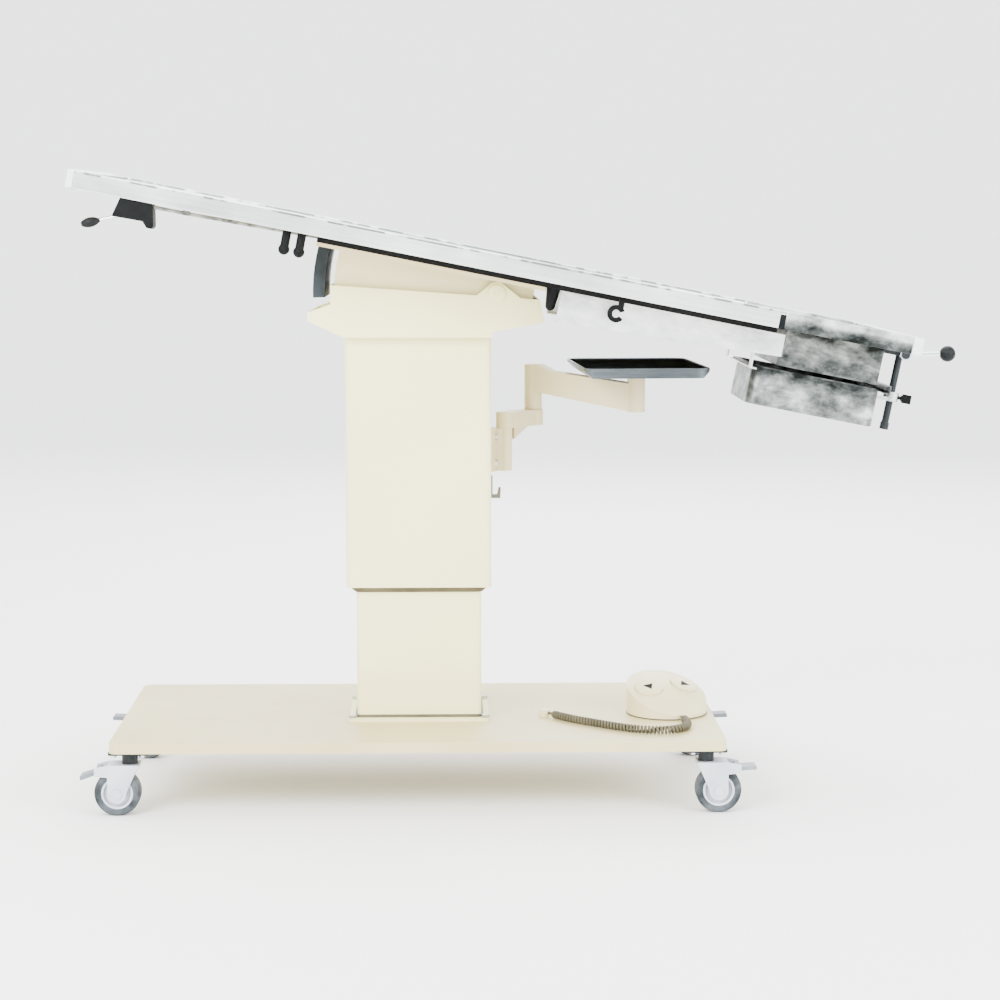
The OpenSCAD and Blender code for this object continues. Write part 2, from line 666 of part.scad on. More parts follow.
module tray_mat() color(black) on_tray() tray_form(tray_wall + part_gap, tray_floor, tray_h - mat_low);

hook_z = bracket_top - bracket_h - 47;
hook_h = 38;
hook_w = 16;
module cable_hook() color("#5d6263") on_column() across(hook_w) translate([sleeve_w / 2, hook_z]) polygon([
    [0, 0], [0, hook_h], [4, hook_h], [4, 6], [12, 6], [14, 18], [18, 18], [17, 0]
]);

// Tilting cradle: two cheeks inside the head, under a plate that carries the frame rails
plate_thk = 6;
rail_z = top_rise - rail_h;
cradle_low = rail_z - plate_thk;
cradle_left = -shield_r;
cradle_right = 75;
cheek_right = 60;
cheek_low = -52;
cheek_r = pivot_x - head_left - head_wall - 1; // reach from the pivot, inside the head's left wall
cheek_thk = 5;
cheek_gap = 8;  // cheek from the housing's inner face
cheek_y = head_dep / 2 - head_wall - cheek_gap - cheek_thk / 2;
rail_right = seam_x + 5;
cable_end_x = -232;
cable_r = 3;
module tilt_cradle() color(beige) on_table() difference() {
    union() {
        translate([(cradle_left + cradle_right) / 2, 0, cradle_low])
            slab(cradle_right - cradle_left, 2 * (rail_y + rail_w), plate_thk, 4);
        for (side = [-1, 1]) {
            across(cheek_thk, side * cheek_y) {
                intersection() {
                    circle(cheek_r);
                    polygon([
                        [-cheek_r - 1, cradle_low + 1], [-cheek_r - 1, cheek_low], [-110, cheek_low + 10],
                        [-24, -20], [18, -20], [cheek_right, -6], [cheek_right, cradle_low + 1]
                    ]);
                }
                circle(24);
            }
            across(5, side * 8.5) translate(spring_top) {
                circle(9);
                translate([-9, 0]) square([18, cradle_low - spring_top[1] + 1]);
            }
        }
        cross_pin(spring_top, spring_pin_d / 2, 20);
    }
    cross_pin([0, 0], shaft_d / 2 + fixed_fit, head_dep + 2);
    translate([cable_end_x, 0, cradle_low - 1]) cylinder(h = plate_thk + 2, r = cable_r + 1);
}
cap_r = 9;
module pivot_shaft() color("silver") on_table() {
    cross_pin([0, 0], shaft_d / 2, head_dep + 2 * part_gap + 2);
    for (side = [-1, 1]) {
        cross_pin([0, 0], cap_r, 3, side * (head_dep / 2 + part_gap + 1.5));
        cross_pin([0, 0], shaft_d / 2 + 5, 4, side * (cheek_y - cheek_thk / 2 - 2 - fixed_fit));
    }
}
shield_wall = 3;
shield_bottom = -12.7; // angle of its lower end, below the tabletop's own level
module shield_outline(inset) intersection() {
    ring_2d(shield_r - inset, shield_r - shield_thk + inset);
    translate([-shield_r - 5, -200]) square([200, 200 + cradle_low]);
    rotate(-shield_bottom) translate([-shield_r - 5, inset]) square([200, 200]);
}
module tilt_shield() color("#2f373c") on_table() difference() {
    across(2 * shield_half) shield_outline(0);
    across(2 * (shield_half - shield_wall)) shield_outline(shield_wall);
}
module frame_rails() color(black) on_table() both_sides()
    translate([cradle_left, -rail_y - rail_w, rail_z]) cube([rail_right - cradle_left, rail_w, rail_h]);
beam_left = 100;
beam_low_left = -26;
beam_low_right = -10;
// Side of a beam, drawn in by a sheet's thickness for its hollow
module beam_outline(inset) polygon([
    [beam_left - inset, beam_low_left + inset], [beam_left - inset, rail_z - inset],
    [basin_x + inset, rail_z - inset], [basin_x + inset, beam_low_right + inset]
]);
module side_beams() color(steel) on_table() {
    both_sides() difference() {
        across(rail_w, -rail_y - rail_w / 2) beam_outline(0);
        across(rail_w, -rail_y - rail_w / 2 + sheet) beam_outline(sheet);
    }
    both_sides() translate([runner_left - sheet, -runner_half, runner_z])
        cube([sheet, rail_w, beam_low_right - 0.5 - runner_z]);
    translate([runner_left - sheet, -runner_half, runner_z])
        cube([sheet + runner_flange, 2 * runner_half, sheet]);
}

// Tabletop: a folded stainless shell with a raised rim and a dished field, over core boards
top_z = top_rise + top_thk;
field_z = top_z - rim_drop;
board_gap = 0.2;
seal_half = 4;
module shell_run(x0, x1) difference() {
    translate([x0, -top_wid / 2, top_rise]) cube([x1 - x0, top_wid, top_thk]);
    translate([x0 + sheet, -top_wid / 2 + sheet, top_rise - 1])
        cube([x1 - x0 - 2 * sheet, top_wid - 2 * sheet, top_thk - rim_drop - sheet + 1]);
}
module top_panel() color("#eef0f0") on_table() difference() {
    shell_run(-top_head, seam_x - seal_half);
    translate([-top_head + rim_wid, -top_wid / 2 + rim_wid, field_z])
        cube([top_head + seam_x, top_wid - 2 * rim_wid, rim_drop + 1]);
}
// A board that fills the shell from below between x0 and x1, and between y0 and y1
module board(x0, x1, y0, y1) translate([x0 + board_gap, y0 + board_gap, top_rise])
    cube([x1 - x0 - 2 * board_gap, y1 - y0 - 2 * board_gap, field_z - sheet - top_rise - board_gap]);
module core_boards() color("#cbb994") on_table() {
    inner = top_wid / 2 - sheet;
    board(-top_head + sheet, seam_x - seal_half - sheet, -inner, inner);
    for (side = [-1, 1]) board(basin_x + sheet, basin_end,
        side > 0 ? basin_half : -inner, side > 0 ? inner : -basin_half);
}
module joint_seal() color("#1d2022") on_table()
    translate([seam_x - seal_half, -top_wid / 2 - 1, rail_z + rail_h])
        cube([2 * seal_half, top_wid + 2, field_z - top_rise]);
// Drain section: the dished field runs on to a basin, whose floor falls to an outlet
outlet_x = basin_x + basin_len / 2;
outlet_r = 16;
outlet_low = pan_low - 1.5;
basin_end = basin_x + basin_len;
module drain_section() color("#b9bebe") on_table() difference() {
    union() {
        shell_run(seam_x + seal_half, top_foot);
        translate([basin_x, -basin_half, -basin_low]) cube([basin_len, 2 * basin_half, field_z + basin_low]);
        both_sides() translate([basin_x, -rail_y - rail_w, beam_low_right])
            cube([sheet, rail_y + rail_w - basin_half + 1, top_rise + 1 - beam_low_right]);
        translate([outlet_x, 0, -outlet_low]) cylinder(h = outlet_low - basin_low + 3, r = outlet_r + 3);
        end_runner();
    }
    translate([0, -top_wid / 2 + rim_wid, field_z])
        cube([top_foot - rim_wid, top_wid - 2 * rim_wid, rim_drop + 1]);
    across(2 * (basin_half - sheet)) polygon([
        [basin_x + sheet, top_z], [basin_end - sheet, top_z], [basin_end - sheet, 14 - basin_low],
        [outlet_x + outlet_r, sheet - basin_low], [outlet_x - outlet_r, sheet - basin_low],
        [basin_x + sheet, 14 - basin_low]
    ]);
    translate([outlet_x, 0, -outlet_low - 1]) cylinder(h = outlet_low + 2, r = outlet_r);
}
trim_head = 12;
trim_foot = 18;
module end_trims() color("#d5d8d8") on_table() {
    difference() {
        translate([-top_head - trim_head, -top_wid / 2 + 1, top_rise - 1])
            cube([trim_head, top_wid - 2, top_thk + 2]);
        translate([-top_head - trim_head / 2, 0, top_rise - 2]) cube([5, top_wid - 20, 20], center = true);
    }
    translate([top_foot, -top_wid / 2 + 1, top_rise]) cube([trim_foot, top_wid - 2, top_thk]);
}

// Tilt release: a lever in a block under the head end, with a cable to the gas spring
release_pin = [-top_head + 92, 14];
release_y = -top_wid / 2 + 25;
block_w = 40;
block_slot = 27;
lever_pin_d = 6;
module release_block() color(black) on_table() {
    difference() {
        across(block_w, release_y) translate([release_pin[0], 0]) polygon([
            [-16, top_rise], [36, top_rise], [43, 2], [41, -3], [33, -3], [25, 6], [-24, 5]
        ]);
        across(block_slot, release_y) translate([release_pin[0], 0]) polygon([
            [-42, top_rise - 7], [18, top_rise - 7], [18, -10], [-42, -10]
        ]);
        long_pin(release_pin[0] + 34, release_y, cable_high, cable_r + fixed_fit, 20);
    }
    cross_pin(release_pin, lever_pin_d / 2, block_w, release_y);
}
grip_at = release_pin + [-58, -25.8];
grip_half = 18;
grip_r = 8;
module grip_outline() {
    r = (grip_half * grip_half + grip_r * grip_r) / (2 * grip_r);
    intersection() {
        translate([grip_r - r, 0]) circle(r, $fn = 120);
        translate([0, 4 - grip_half]) square([grip_r + 1, 2 * grip_half - 8]);
    }
}
module release_lever() color(black) on_table() translate([0, release_y, 0]) {
    arm = grip_at - release_pin;
    difference() {
        union() {
            cross_pin(release_pin, 8, block_slot - 1);
            bent_rod([[release_pin[0], 0, release_pin[1]], [grip_at[0], 0, grip_at[1]]], 3);
        }
        cross_pin(release_pin, lever_pin_d / 2 + run, block_slot + 1);
    }
    translate([grip_at[0], 0, grip_at[1]]) rotate([0, atan2(arm[0], arm[1]), 0])
        rotate_extrude() grip_outline();
}
cable_high = top_rise - cable_r - 2;
clip_h = 8;
cable_route = [
    [release_pin[0] + 35, release_y, cable_high], [release_pin[0] + 88, release_y, cable_high],
    [-440, -150, cable_high], [-300, 0, cable_high], [cable_end_x, 0, cable_high], [cable_end_x, 0, 12]
];
// The clips hold the sheath at its bends
module release_cable() color("#3a3f42") on_table() {
    bent_rod(cable_route, cable_r);
    for (i = [1 : len(cable_route) - 2]) translate([cable_route[i][0], cable_route[i][1], top_rise - clip_h])
        cylinder(h = clip_h, r = cable_r + 3);
}

// Tie-down cleats along the near edge: twin pegs, a curled hook, and a buffer under the frame rail
cleat_y = -top_wid / 2 + 20;
peg_x = -336;
hook_x = 189;
buffer_x = 87;
module tie_cleats() color(black) on_table() {
    for (dx = [-12, 12]) translate([peg_x + dx, cleat_y, 0]) {
        translate([0, 0, 5]) cylinder(h = top_rise - 5, r = 7);
        translate([0, 0, 6]) sphere(9);
    }
    across(12, cleat_y) {
        translate([hook_x, 8]) difference() {
            circle(14);
            circle(6.5);
            polygon([[0, 0], [20, -12], [20, 10]]);
        }
        translate([hook_x + 1, 18]) square([9, top_rise - 18]);
    }
    translate([buffer_x, -rail_y - rail_w / 2, 0]) {
        translate([0, 0, -2]) sphere(8);
        translate([0, 0, -2]) cylinder(h = rail_z + 2, r1 = 8, r2 = 11.5, $fn = 48);
    }
}

// Drain pan on its two runners, and the hanger rod with its collar and clamps
pan_gap = 2;       // pan's body from a runner's flange
pan_rim_thk = 2;
pan_rim = 8;
pan_round = 20;
runner_flange = 8;
pan_x = basin_x - 33;
runner_left = pan_x - pan_gap - runner_flange;
runner_right = pan_x + pan_len + pan_gap + runner_flange;
runner_half = rail_y + rail_w;
runner_z = -pan_low - pan_rim_thk - part_gap - sheet;
module drain_pan() color(pan_steel) on_table() difference() {
    union() {
        translate([pan_x + pan_len / 2, 0, -pan_low - pan_dep]) slab(pan_len, pan_wid, pan_dep, pan_round);
        translate([pan_x + pan_len / 2, 0, -pan_low - pan_rim_thk])
            slab(pan_len + 2 * pan_rim, pan_wid + 2 * pan_rim, pan_rim_thk, pan_round + pan_rim);
    }
    translate([pan_x + pan_len / 2, 0, -pan_low - pan_dep + sheet])
        slab(pan_len - 2 * sheet, pan_wid - 2 * sheet, pan_dep, pan_round - sheet);
}
rod_x = runner_right + 31;
rod_low = -99;
bar_z = 25;
bar_thk = 8;
bar_half = 14;
lever_y = -bar_half - 8;
lever_pivot = [rod_x + 5, bar_z + bar_thk / 2];
// The pan's runner at the drain end hangs from the foot of the basin's end wall
module end_runner() {
    translate([runner_right - runner_flange, -basin_half, runner_z])
        cube([runner_flange + sheet, 2 * basin_half, sheet]);
    translate([runner_right, -basin_half, runner_z]) cube([sheet, 2 * basin_half, -basin_low - runner_z]);
    translate([basin_end - 1, -basin_half, -basin_low])
        cube([runner_right + sheet - basin_end + 1, 2 * basin_half, sheet]);
}
module hanger_rod() color("#3b4043") on_table() {
    translate([rod_x, 0, rod_low]) cylinder(h = bar_z - rod_low + 2, r = hanger_d / 2);
    translate([rod_x, 0, rod_low - 3]) cylinder(h = 12, r = hanger_d / 2 + 1.5);
    translate([basin_end, -bar_half, bar_z]) cube([rod_x + 10 - basin_end, 2 * bar_half, bar_thk]);
    cross_pin(lever_pivot, 4, 18, -bar_half - 8);
    cross_pin(lever_pivot, 7, 2, -bar_half - 17);
}
collar_z = -45;
collar_h = 16;
collar_r = 13;
screw_d = 6;
screw_len = 12;
wing_half = 7.5;
wing_len = 15;
module rod_collar() color("#c2c6c6") on_table() difference() {
    union() {
        translate([rod_x, 0, collar_z - collar_h / 2]) cylinder(h = collar_h, r = collar_r);
        translate([runner_right + sheet + 2, -12, collar_z - collar_h / 2])
            cube([rod_x - runner_right - sheet, 24, 6]);
    }
    translate([rod_x, 0, collar_z - collar_h]) cylinder(h = 2 * collar_h, r = hanger_d / 2 + run);
    long_pin(rod_x, 0, collar_z, screw_d / 2 + run, 30);
}
module thumb_screw() color("#2d3235") on_table() {
    long_pin(rod_x + hanger_d / 2 + 0.5, 0, collar_z, screw_d / 2, screw_len + 1);
    long_pin(rod_x + hanger_d / 2 + screw_len, 0, collar_z, 5, 8);
    translate([rod_x + hanger_d / 2 + screw_len + 2, -3, collar_z - wing_half])
        cube([wing_len, 6, 2 * wing_half]);
}
ball_at = lever_pivot + [70, 15.5];
ball_r = 13.5;
module clamp_lever() color(black) on_table() translate([0, lever_y, 0]) {
    difference() {
        union() {
            cross_pin(lever_pivot, 9, 12);
            bent_rod([[lever_pivot[0], 0, lever_pivot[1]], [ball_at[0], 0, ball_at[1]]], 4);
        }
        cross_pin(lever_pivot, 4 + run, 14);
    }
    translate([ball_at[0], 0, ball_at[1]]) sphere(ball_r);
}

// Foot switch: a round housing with a domed, sloping face and two press pads
switch_at = [422, -20];
switch_turn = 25;
pad_x = 34;
pad_proud = 3;
pad_travel = 4;
pad_deep = 10;
pad_gap = 0.6;
arrow_deep = 1;
module on_switch() on_column() translate([switch_at[0], switch_at[1], base_top])
    rotate([0, 0, switch_turn]) children();
module on_face() on_switch() translate([0, 0, switch_h]) rotate([switch_slope, 0, 0]) children();
module dome(grow) translate([0, 0, -dome_r]) sphere(dome_r + grow, $fn = 160);
module foot_switch_housing() color("#ece7d8") difference() {
    intersection() {
        on_switch() cylinder(h = 200, r = switch_d / 2);
        on_face() dome(0);
    }
    for (side = [-1, 1]) on_face() translate([side * pad_x, 0, -pad_deep - pad_travel])
        cylinder(h = 60, r = pad_d / 2 + pad_gap);
}
// A press pad, with an arrow sunk into its top that points up or down the sloping face
module pad(side) difference() {
    intersection() {
        on_face() translate([side * pad_x, 0, -pad_deep]) cylinder(h = 60, r = pad_d / 2);
        on_face() dome(pad_proud);
    }
    on_face() translate([side * pad_x, 0, 0]) difference() {
        scale_y(side) linear_extrude(60) polygon([[0, -9], [10, 7], [-10, 7]]);
        translate([-side * pad_x, 0, 0]) dome(pad_proud - arrow_deep);
    }
}
module down_pad() color("#d9d4c4") pad(-1);
module up_pad() color("#d9d4c4") pad(1);

// Curly cord on the base plate, from a gland to the foot switch. It lies on the plate, and its
// route's points were chosen by hand
cord_z = base_top + curl_d / 2 + part_gap;
cord_route = [[238, -80], [258, -104], [282, -127], [309, -151], [338, -174], [366, -190], [394, -196],
    [420, -190], [438, -172], [446, -146]];
gland_at = [212, -45];
gland_r = 9;
gland_way = heading(-52);
cord_lead = 8; // straight lead at each end
socket_way = heading(-75);
socket_len = 5;
socket_wall = 2;
gland_mouth = gland_at + (gland_r + 2) * gland_way;
socket_mouth = switch_at + (switch_d / 2 + socket_len) * socket_way;
module cord_sleeve(from, way, len) translate([from[0], from[1], cord_z])
    rotate([0, 90, atan2(way[1], way[0])]) cylinder(h = len, r = wire_d / 2 + socket_wall);
module cord_gland() color("#c9c3b2") on_column() {
    translate([gland_at[0], gland_at[1], base_top]) cylinder(h = cord_z - base_top + wire_d, r = gland_r);
    cord_sleeve(gland_at, gland_way, gland_r + 2);
    cord_sleeve(switch_at + (switch_d / 2 + part_gap) * socket_way, socket_way, socket_len - part_gap);
}
function heading(a) = [cos(a), sin(a)];
function unit(v) = v / norm(v);
function spline(p, t) = 0.5 * (2 * p[1] + (p[2] - p[0]) * t + (2 * p[0] - 5 * p[1] + 4 * p[2] - p[3]) * t * t
    + (3 * p[1] - p[0] - 3 * p[2] + p[3]) * t * t * t);
// The smooth way of the cord's axis, between its two straight leads
way_points = concat([gland_mouth, gland_mouth + cord_lead * gland_way], cord_route,
    [socket_mouth + cord_lead * socket_way, socket_mouth]);
way_steps = 12;
way = [
    for (i = [0 : len(way_points) - 4], j = [0 : way_steps - 1])
        spline([for (k = [0 : 3]) way_points[i + k]], j / way_steps)
];
way_n = len(way);
way_len = [for (i = 0, s = 0; i < way_n; s = s + norm(way[min(i + 1, way_n - 1)] - way[i]), i = i + 1) s];
total = way_len[way_n - 1];
curls = round(total / curl_pitch);
curl_rings = 8;
wire_sides = 6;
curl_r = (curl_d - wire_d) / 2;
swell_turns = 1.5; // turns over which the curls grow to their full size
function way_index(s) = min(len([for (l = way_len) if (l <= s) 1]) - 1, way_n - 2);
function way_at(s) = let (i = way_index(s), t = (s - way_len[i]) / (way_len[i + 1] - way_len[i]))
    way[i] + t * (way[i + 1] - way[i]);
function way_side(s) = let (v = way_at(min(s + 2, total)) - way_at(max(s - 2, 0))) unit([-v[1], v[0]]);
function curl_point(turn) = let (
    s = total * turn / curls,
    r = curl_r * min(1, turn / swell_turns, (curls - turn) / swell_turns),
    c = way_at(s) + r * cos(360 * turn) * way_side(s)
) [c[0], c[1], cord_z + r * sin(360 * turn)];
function on_plate(p) = [p[0], p[1], cord_z];
cord_points = concat(
    [on_plate(gland_mouth)],
    [for (k = [0 : curls * curl_rings]) curl_point(k / curl_rings)],
    [on_plate(socket_mouth)]
);
cord_n = len(cord_points);
cord_tangents = [
    for (i = [0 : cord_n - 1]) unit(cord_points[min(i + 1, cord_n - 1)] - cord_points[max(i - 1, 0)])
];
function carry(u, t) = unit(u - (u * t) * t);
cord_sides = [
    for (i = 0, u = carry([0, 0, 1], cord_tangents[0]); i < cord_n;
        i = i + 1, u = carry(u, cord_tangents[min(i, cord_n - 1)])) u
];
wire_points = [
    for (i = [0 : cord_n - 1], k = [0 : wire_sides - 1])
        let (u = cord_sides[i], v = cross(cord_tangents[i], u), a = 360 * k / wire_sides)
        cord_points[i] + wire_d / 2 * (cos(a) * u + sin(a) * v)
];
function at_ring(i, k) = i * wire_sides + k % wire_sides;
wire_faces = concat(
    [for (i = [0 : cord_n - 2], k = [0 : wire_sides - 1])
        [at_ring(i, k), at_ring(i, k + 1), at_ring(i + 1, k)]],
    [for (i = [0 : cord_n - 2], k = [0 : wire_sides - 1])
        [at_ring(i, k + 1), at_ring(i + 1, k + 1), at_ring(i + 1, k)]],
    [for (k = [1 : wire_sides - 2]) [at_ring(0, 0), at_ring(0, k + 1), at_ring(0, k)]],
    [for (k = [1 : wire_sides - 2])
        [at_ring(cord_n - 1, 0), at_ring(cord_n - 1, k), at_ring(cord_n - 1, k + 1)]]
);
wire_len = [for (i = 0, s = 0; i < cord_n;
    s = s + norm(cord_points[min(i + 1, cord_n - 1)] - cord_points[i]), i = i + 1) s];
// Least gap between two stretches of the wire that are more than two diameters apart along it
wire_gap = min([
    for (i = [0 : cord_n - 2], j = [i + 1 : min(i + 4 * curl_rings, cord_n - 1)])
        if (wire_len[j] - wire_len[i] > 2 * wire_d) norm(cord_points[i] - cord_points[j])
]) - wire_d;
echo(least_gap_between_curls = wire_gap);
echo(curls = curls, axis_length = total, wire_length = wire_len[cord_n - 1]);
module foot_switch_cord() color("#cfc8b6") on_column()
    polyhedron(points = wire_points, faces = wire_faces, convexity = 10);

base_plate();
lower_column();
lift_actuator();
control_box();
cord_gland();
foot_switch_housing();
foot_switch_cord();
caster_plates();
base_fasteners();
down_pad();
up_pad();
caster_fork_head_near();
caster_hub_head_near();
caster_tyre_head_near();
brake_pedal_head_near();
caster_fork_head_far();
caster_hub_head_far();
caster_tyre_head_far();
brake_pedal_head_far();
caster_fork_drain_near();
caster_hub_drain_near();
caster_tyre_drain_near();
brake_pedal_drain_near();
caster_fork_drain_far();
caster_hub_drain_far();
caster_tyre_drain_far();
brake_pedal_drain_far();
outer_sleeve();
glide_strips();
lift_rod();
head_housing();
pivot_bushes();
tray_bracket();
cable_hook();
head_fasteners();
gas_spring_cylinder();
gas_spring_rod();
lower_arm();
upper_arm();
instrument_tray();
tray_mat();
tilt_cradle();
pivot_shaft();
tilt_shield();
frame_rails();
side_beams();
top_panel();
core_boards();
joint_seal();
drain_section();
end_trims();
release_block();
release_cable();
tie_cleats();
hanger_rod();
release_lever();
drain_pan();
rod_collar();
thumb_screw();
clamp_lever();
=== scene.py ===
import json
import math

import bmesh
import bpy
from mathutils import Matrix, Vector


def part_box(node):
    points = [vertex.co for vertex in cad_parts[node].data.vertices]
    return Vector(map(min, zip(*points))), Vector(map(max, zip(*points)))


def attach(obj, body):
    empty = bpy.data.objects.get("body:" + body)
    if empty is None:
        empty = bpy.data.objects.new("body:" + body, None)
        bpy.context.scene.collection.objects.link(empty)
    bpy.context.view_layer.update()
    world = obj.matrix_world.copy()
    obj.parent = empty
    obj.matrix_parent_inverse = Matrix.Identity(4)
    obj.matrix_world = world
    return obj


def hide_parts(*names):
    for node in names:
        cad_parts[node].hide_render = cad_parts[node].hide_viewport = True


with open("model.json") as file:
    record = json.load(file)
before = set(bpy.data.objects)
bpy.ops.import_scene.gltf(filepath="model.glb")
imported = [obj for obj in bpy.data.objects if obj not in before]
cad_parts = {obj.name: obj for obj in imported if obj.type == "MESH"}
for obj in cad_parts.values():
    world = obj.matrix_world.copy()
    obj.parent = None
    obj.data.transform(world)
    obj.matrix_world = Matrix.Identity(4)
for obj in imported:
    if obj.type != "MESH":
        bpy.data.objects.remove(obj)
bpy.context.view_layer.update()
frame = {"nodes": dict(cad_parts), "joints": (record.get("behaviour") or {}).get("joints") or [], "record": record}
record = frame["record"]
joints = {joint["name"]: joint for joint in frame["joints"]}
mounts = {mount["name"]: mount for mount in record["mounts"]}
mm = 0.001
print("frame loaded:", len(frame["nodes"]), "nodes")

# Places that the record gives: the middle of the base, the tilting frame and the foot switch's face
baseLow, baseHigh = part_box("base_plate")
columnX = (baseLow.x + baseHigh.x) / 2
baseTop = baseHigh.z
pivot = Vector(joints["table_tilt"]["pos_m"])
tableUp = Vector(mounts["tabletop"]["axis"])
tilt = math.atan2(tableUp.x, tableUp.z)

# The camera was fitted to the straight edges of the base, the column and the tabletop
cameraView = {
    "x": 0.039, "y": -4.124, "z": 0.975, "pitchDown": 6.71, "yawRight": 1.37, "lens": 87.95, "sensor": 36,
}


def makeCamera():
    data = bpy.data.cameras.new("camera")
    data.lens = cameraView["lens"]
    data.sensor_width = cameraView["sensor"]
    made = bpy.data.objects.new("camera", data)
    made.location = (columnX + cameraView["x"], cameraView["y"], cameraView["z"])
    made.rotation_euler = (
        math.radians(90 - cameraView["pitchDown"]), 0, -math.radians(cameraView["yawRight"])
    )
    bpy.context.scene.collection.objects.link(made)
    bpy.context.scene.camera = made


makeCamera()
print("camera placed")


def addObject(name, data, body):
    made = bpy.data.objects.new(name, data)
    bpy.context.scene.collection.objects.link(made)
    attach(made, body)
    return made


def addRing(made, middle, radius, across, other, sides):
    turns = [2 * math.pi * k / sides for k in range(sides)]
    return [made.verts.new(middle + radius * (math.cos(a) * across + math.sin(a) * other)) for a in turns]


def joinRings(made, low, high):
    for k in range(len(low)):
        after = (k + 1) % len(low)
        made.faces.new((low[k], low[after], high[after], high[k]))


def finishedMesh(name, made):
    bmesh.ops.recalc_face_normals(made, faces=made.faces[:])
    mesh = bpy.data.meshes.new(name)
    made.to_mesh(mesh)
    made.free()
    return mesh


def sweepTube(name, points, radius, sides, closed=False):
    # A tube along the points, whose rings are carried along without twist
    made = bmesh.new()
    if closed:
        around = [points[-1]] + points + [points[0]]
    else:
        around = [points[0]] + points + [points[-1]]
    tangents = [(after - before).normalized() for before, after in zip(around, around[2:])]
    across = tangents[0].orthogonal().normalized()
    rings = []
    for point, tangent in zip(points, tangents):
        across = (across - across.dot(tangent) * tangent).normalized()
        rings.append(addRing(made, point, radius, across, tangent.cross(across), sides))
    for low, high in zip(rings, rings[1:] + ([rings[0]] if closed else [])):
        joinRings(made, low, high)
    if not closed:
        made.faces.new(rings[0][::-1])
        made.faces.new(rings[-1])
    mesh = finishedMesh(name, made)
    for face in mesh.polygons:
        face.use_smooth = len(face.vertices) == 4
    return mesh


# The curly cord of the foot switch. Its route repeats the CAD source's points, from the column's axis
curlyCord = {
    "route": [
        (0.238, -0.080), (0.258, -0.104), (0.282, -0.127), (0.309, -0.151), (0.338, -0.174),
        (0.366, -0.190), (0.394, -0.196), (0.420, -0.190), (0.438, -0.172), (0.446, -0.146),
    ],
    "gland": (0.212, -0.045), "glandReach": 0.011, "glandHeading": -52,
    "switch": (0.422, -0.020), "socketReach": 0.073, "socketHeading": -75,
    "lead": 0.008, "wire": 0.0045, "curl": 0.014, "pitch": 0.0062, "lift": 0.0003,
    "swellTurns": 1.5, "ringsPerCurl": 20, "sides": 12, "stepsPerSpan": 12,
}


def heading(degrees):
    return Vector((math.cos(math.radians(degrees)), math.sin(math.radians(degrees))))


def smoothWay(points, steps):
    way = []
    for i in range(len(points) - 3):
        a, b, c, d = points[i:i + 4]
        for j in range(steps):
            t = j / steps
            way.append(0.5 * (
                2 * b + (c - a) * t + (2 * a - 5 * b + 4 * c - d) * t * t
                + (3 * b - a - 3 * c + d) * t * t * t
            ))
    return way


def curlPoints(cord):
    glandWay, socketWay = heading(cord["glandHeading"]), heading(cord["socketHeading"])
    glandMouth = Vector(cord["gland"]) + cord["glandReach"] * glandWay
    socketMouth = Vector(cord["switch"]) + cord["socketReach"] * socketWay
    corners = [glandMouth, glandMouth + cord["lead"] * glandWay]
    corners += [Vector(p) for p in cord["route"]]
    corners += [socketMouth + cord["lead"] * socketWay, socketMouth]
    way = smoothWay(corners, cord["stepsPerSpan"])
    reached = [0.0]
    for a, b in zip(way, way[1:]):
        reached.append(reached[-1] + (b - a).length)
    total = reached[-1]
    curls = round(total / cord["pitch"])

    def wayAt(s):
        i = max(k for k in range(len(way) - 1) if reached[k] <= s)
        t = (s - reached[i]) / (reached[i + 1] - reached[i])
        return way[i].lerp(way[i + 1], t)

    height = baseTop + cord["curl"] / 2 + cord["lift"]
    fullRadius = (cord["curl"] - cord["wire"]) / 2
    points = [Vector((columnX + glandMouth.x, glandMouth.y, height))]
    for k in range(1, curls * cord["ringsPerCurl"]):
        turn = k / cord["ringsPerCurl"]
        s = total * turn / curls
        ahead = wayAt(min(s + 2 * mm, total)) - wayAt(max(s - 2 * mm, 0))
        side = Vector((-ahead.y, ahead.x)).normalized()
        grown = min(1, turn / cord["swellTurns"], (curls - turn) / cord["swellTurns"])
        radius = fullRadius * grown
        middle = wayAt(s) + radius * math.cos(2 * math.pi * turn) * side
        rise = radius * math.sin(2 * math.pi * turn)
        points.append(Vector((columnX + middle.x, middle.y, height + rise)))
    points.append(Vector((columnX + socketMouth.x, socketMouth.y, height)))
    return points


def makeCord():
    points = curlPoints(curlyCord)
    mesh = sweepTube("footSwitchCurlyCord", points, curlyCord["wire"] / 2, curlyCord["sides"])
    cord = addObject("footSwitchCurlyCord", mesh, "base")
    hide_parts("foot_switch_cord")
    return cord


curlyCordPiece = makeCord()


# Shader helpers
def toLinear(hexText):
    parts = [int(hexText[i:i + 2], 16) / 255 for i in (1, 3, 5)]
    return [c / 12.92 if c <= 0.04045 else ((c + 0.055) / 1.055) ** 2.4 for c in parts] + [1.0]


def addNode(tree, kind, inputs=None, **settings):
    made = tree.nodes.new(kind)
    for name, value in settings.items():
        setattr(made, name, value)
    for name, value in (inputs or {}).items():
        if isinstance(value, bpy.types.NodeSocket):
            tree.links.new(value, made.inputs[name])
        else:
            made.inputs[name].default_value = value
    return made


def newMaterial(name, **constants):
    # Values that are the same all over the surface stand on the shader's own sockets
    material = bpy.data.materials.new(name)
    material.use_nodes = True
    tree = material.node_tree
    tree.nodes.clear()
    shader = addNode(tree, "ShaderNodeBsdfPrincipled")
    for socket, value in constants.items():
        shader.inputs[socket.replace("_", " ")].default_value = value
    output = addNode(tree, "ShaderNodeOutputMaterial")
    tree.links.new(shader.outputs[0], output.inputs[0])
    return material, tree, shader


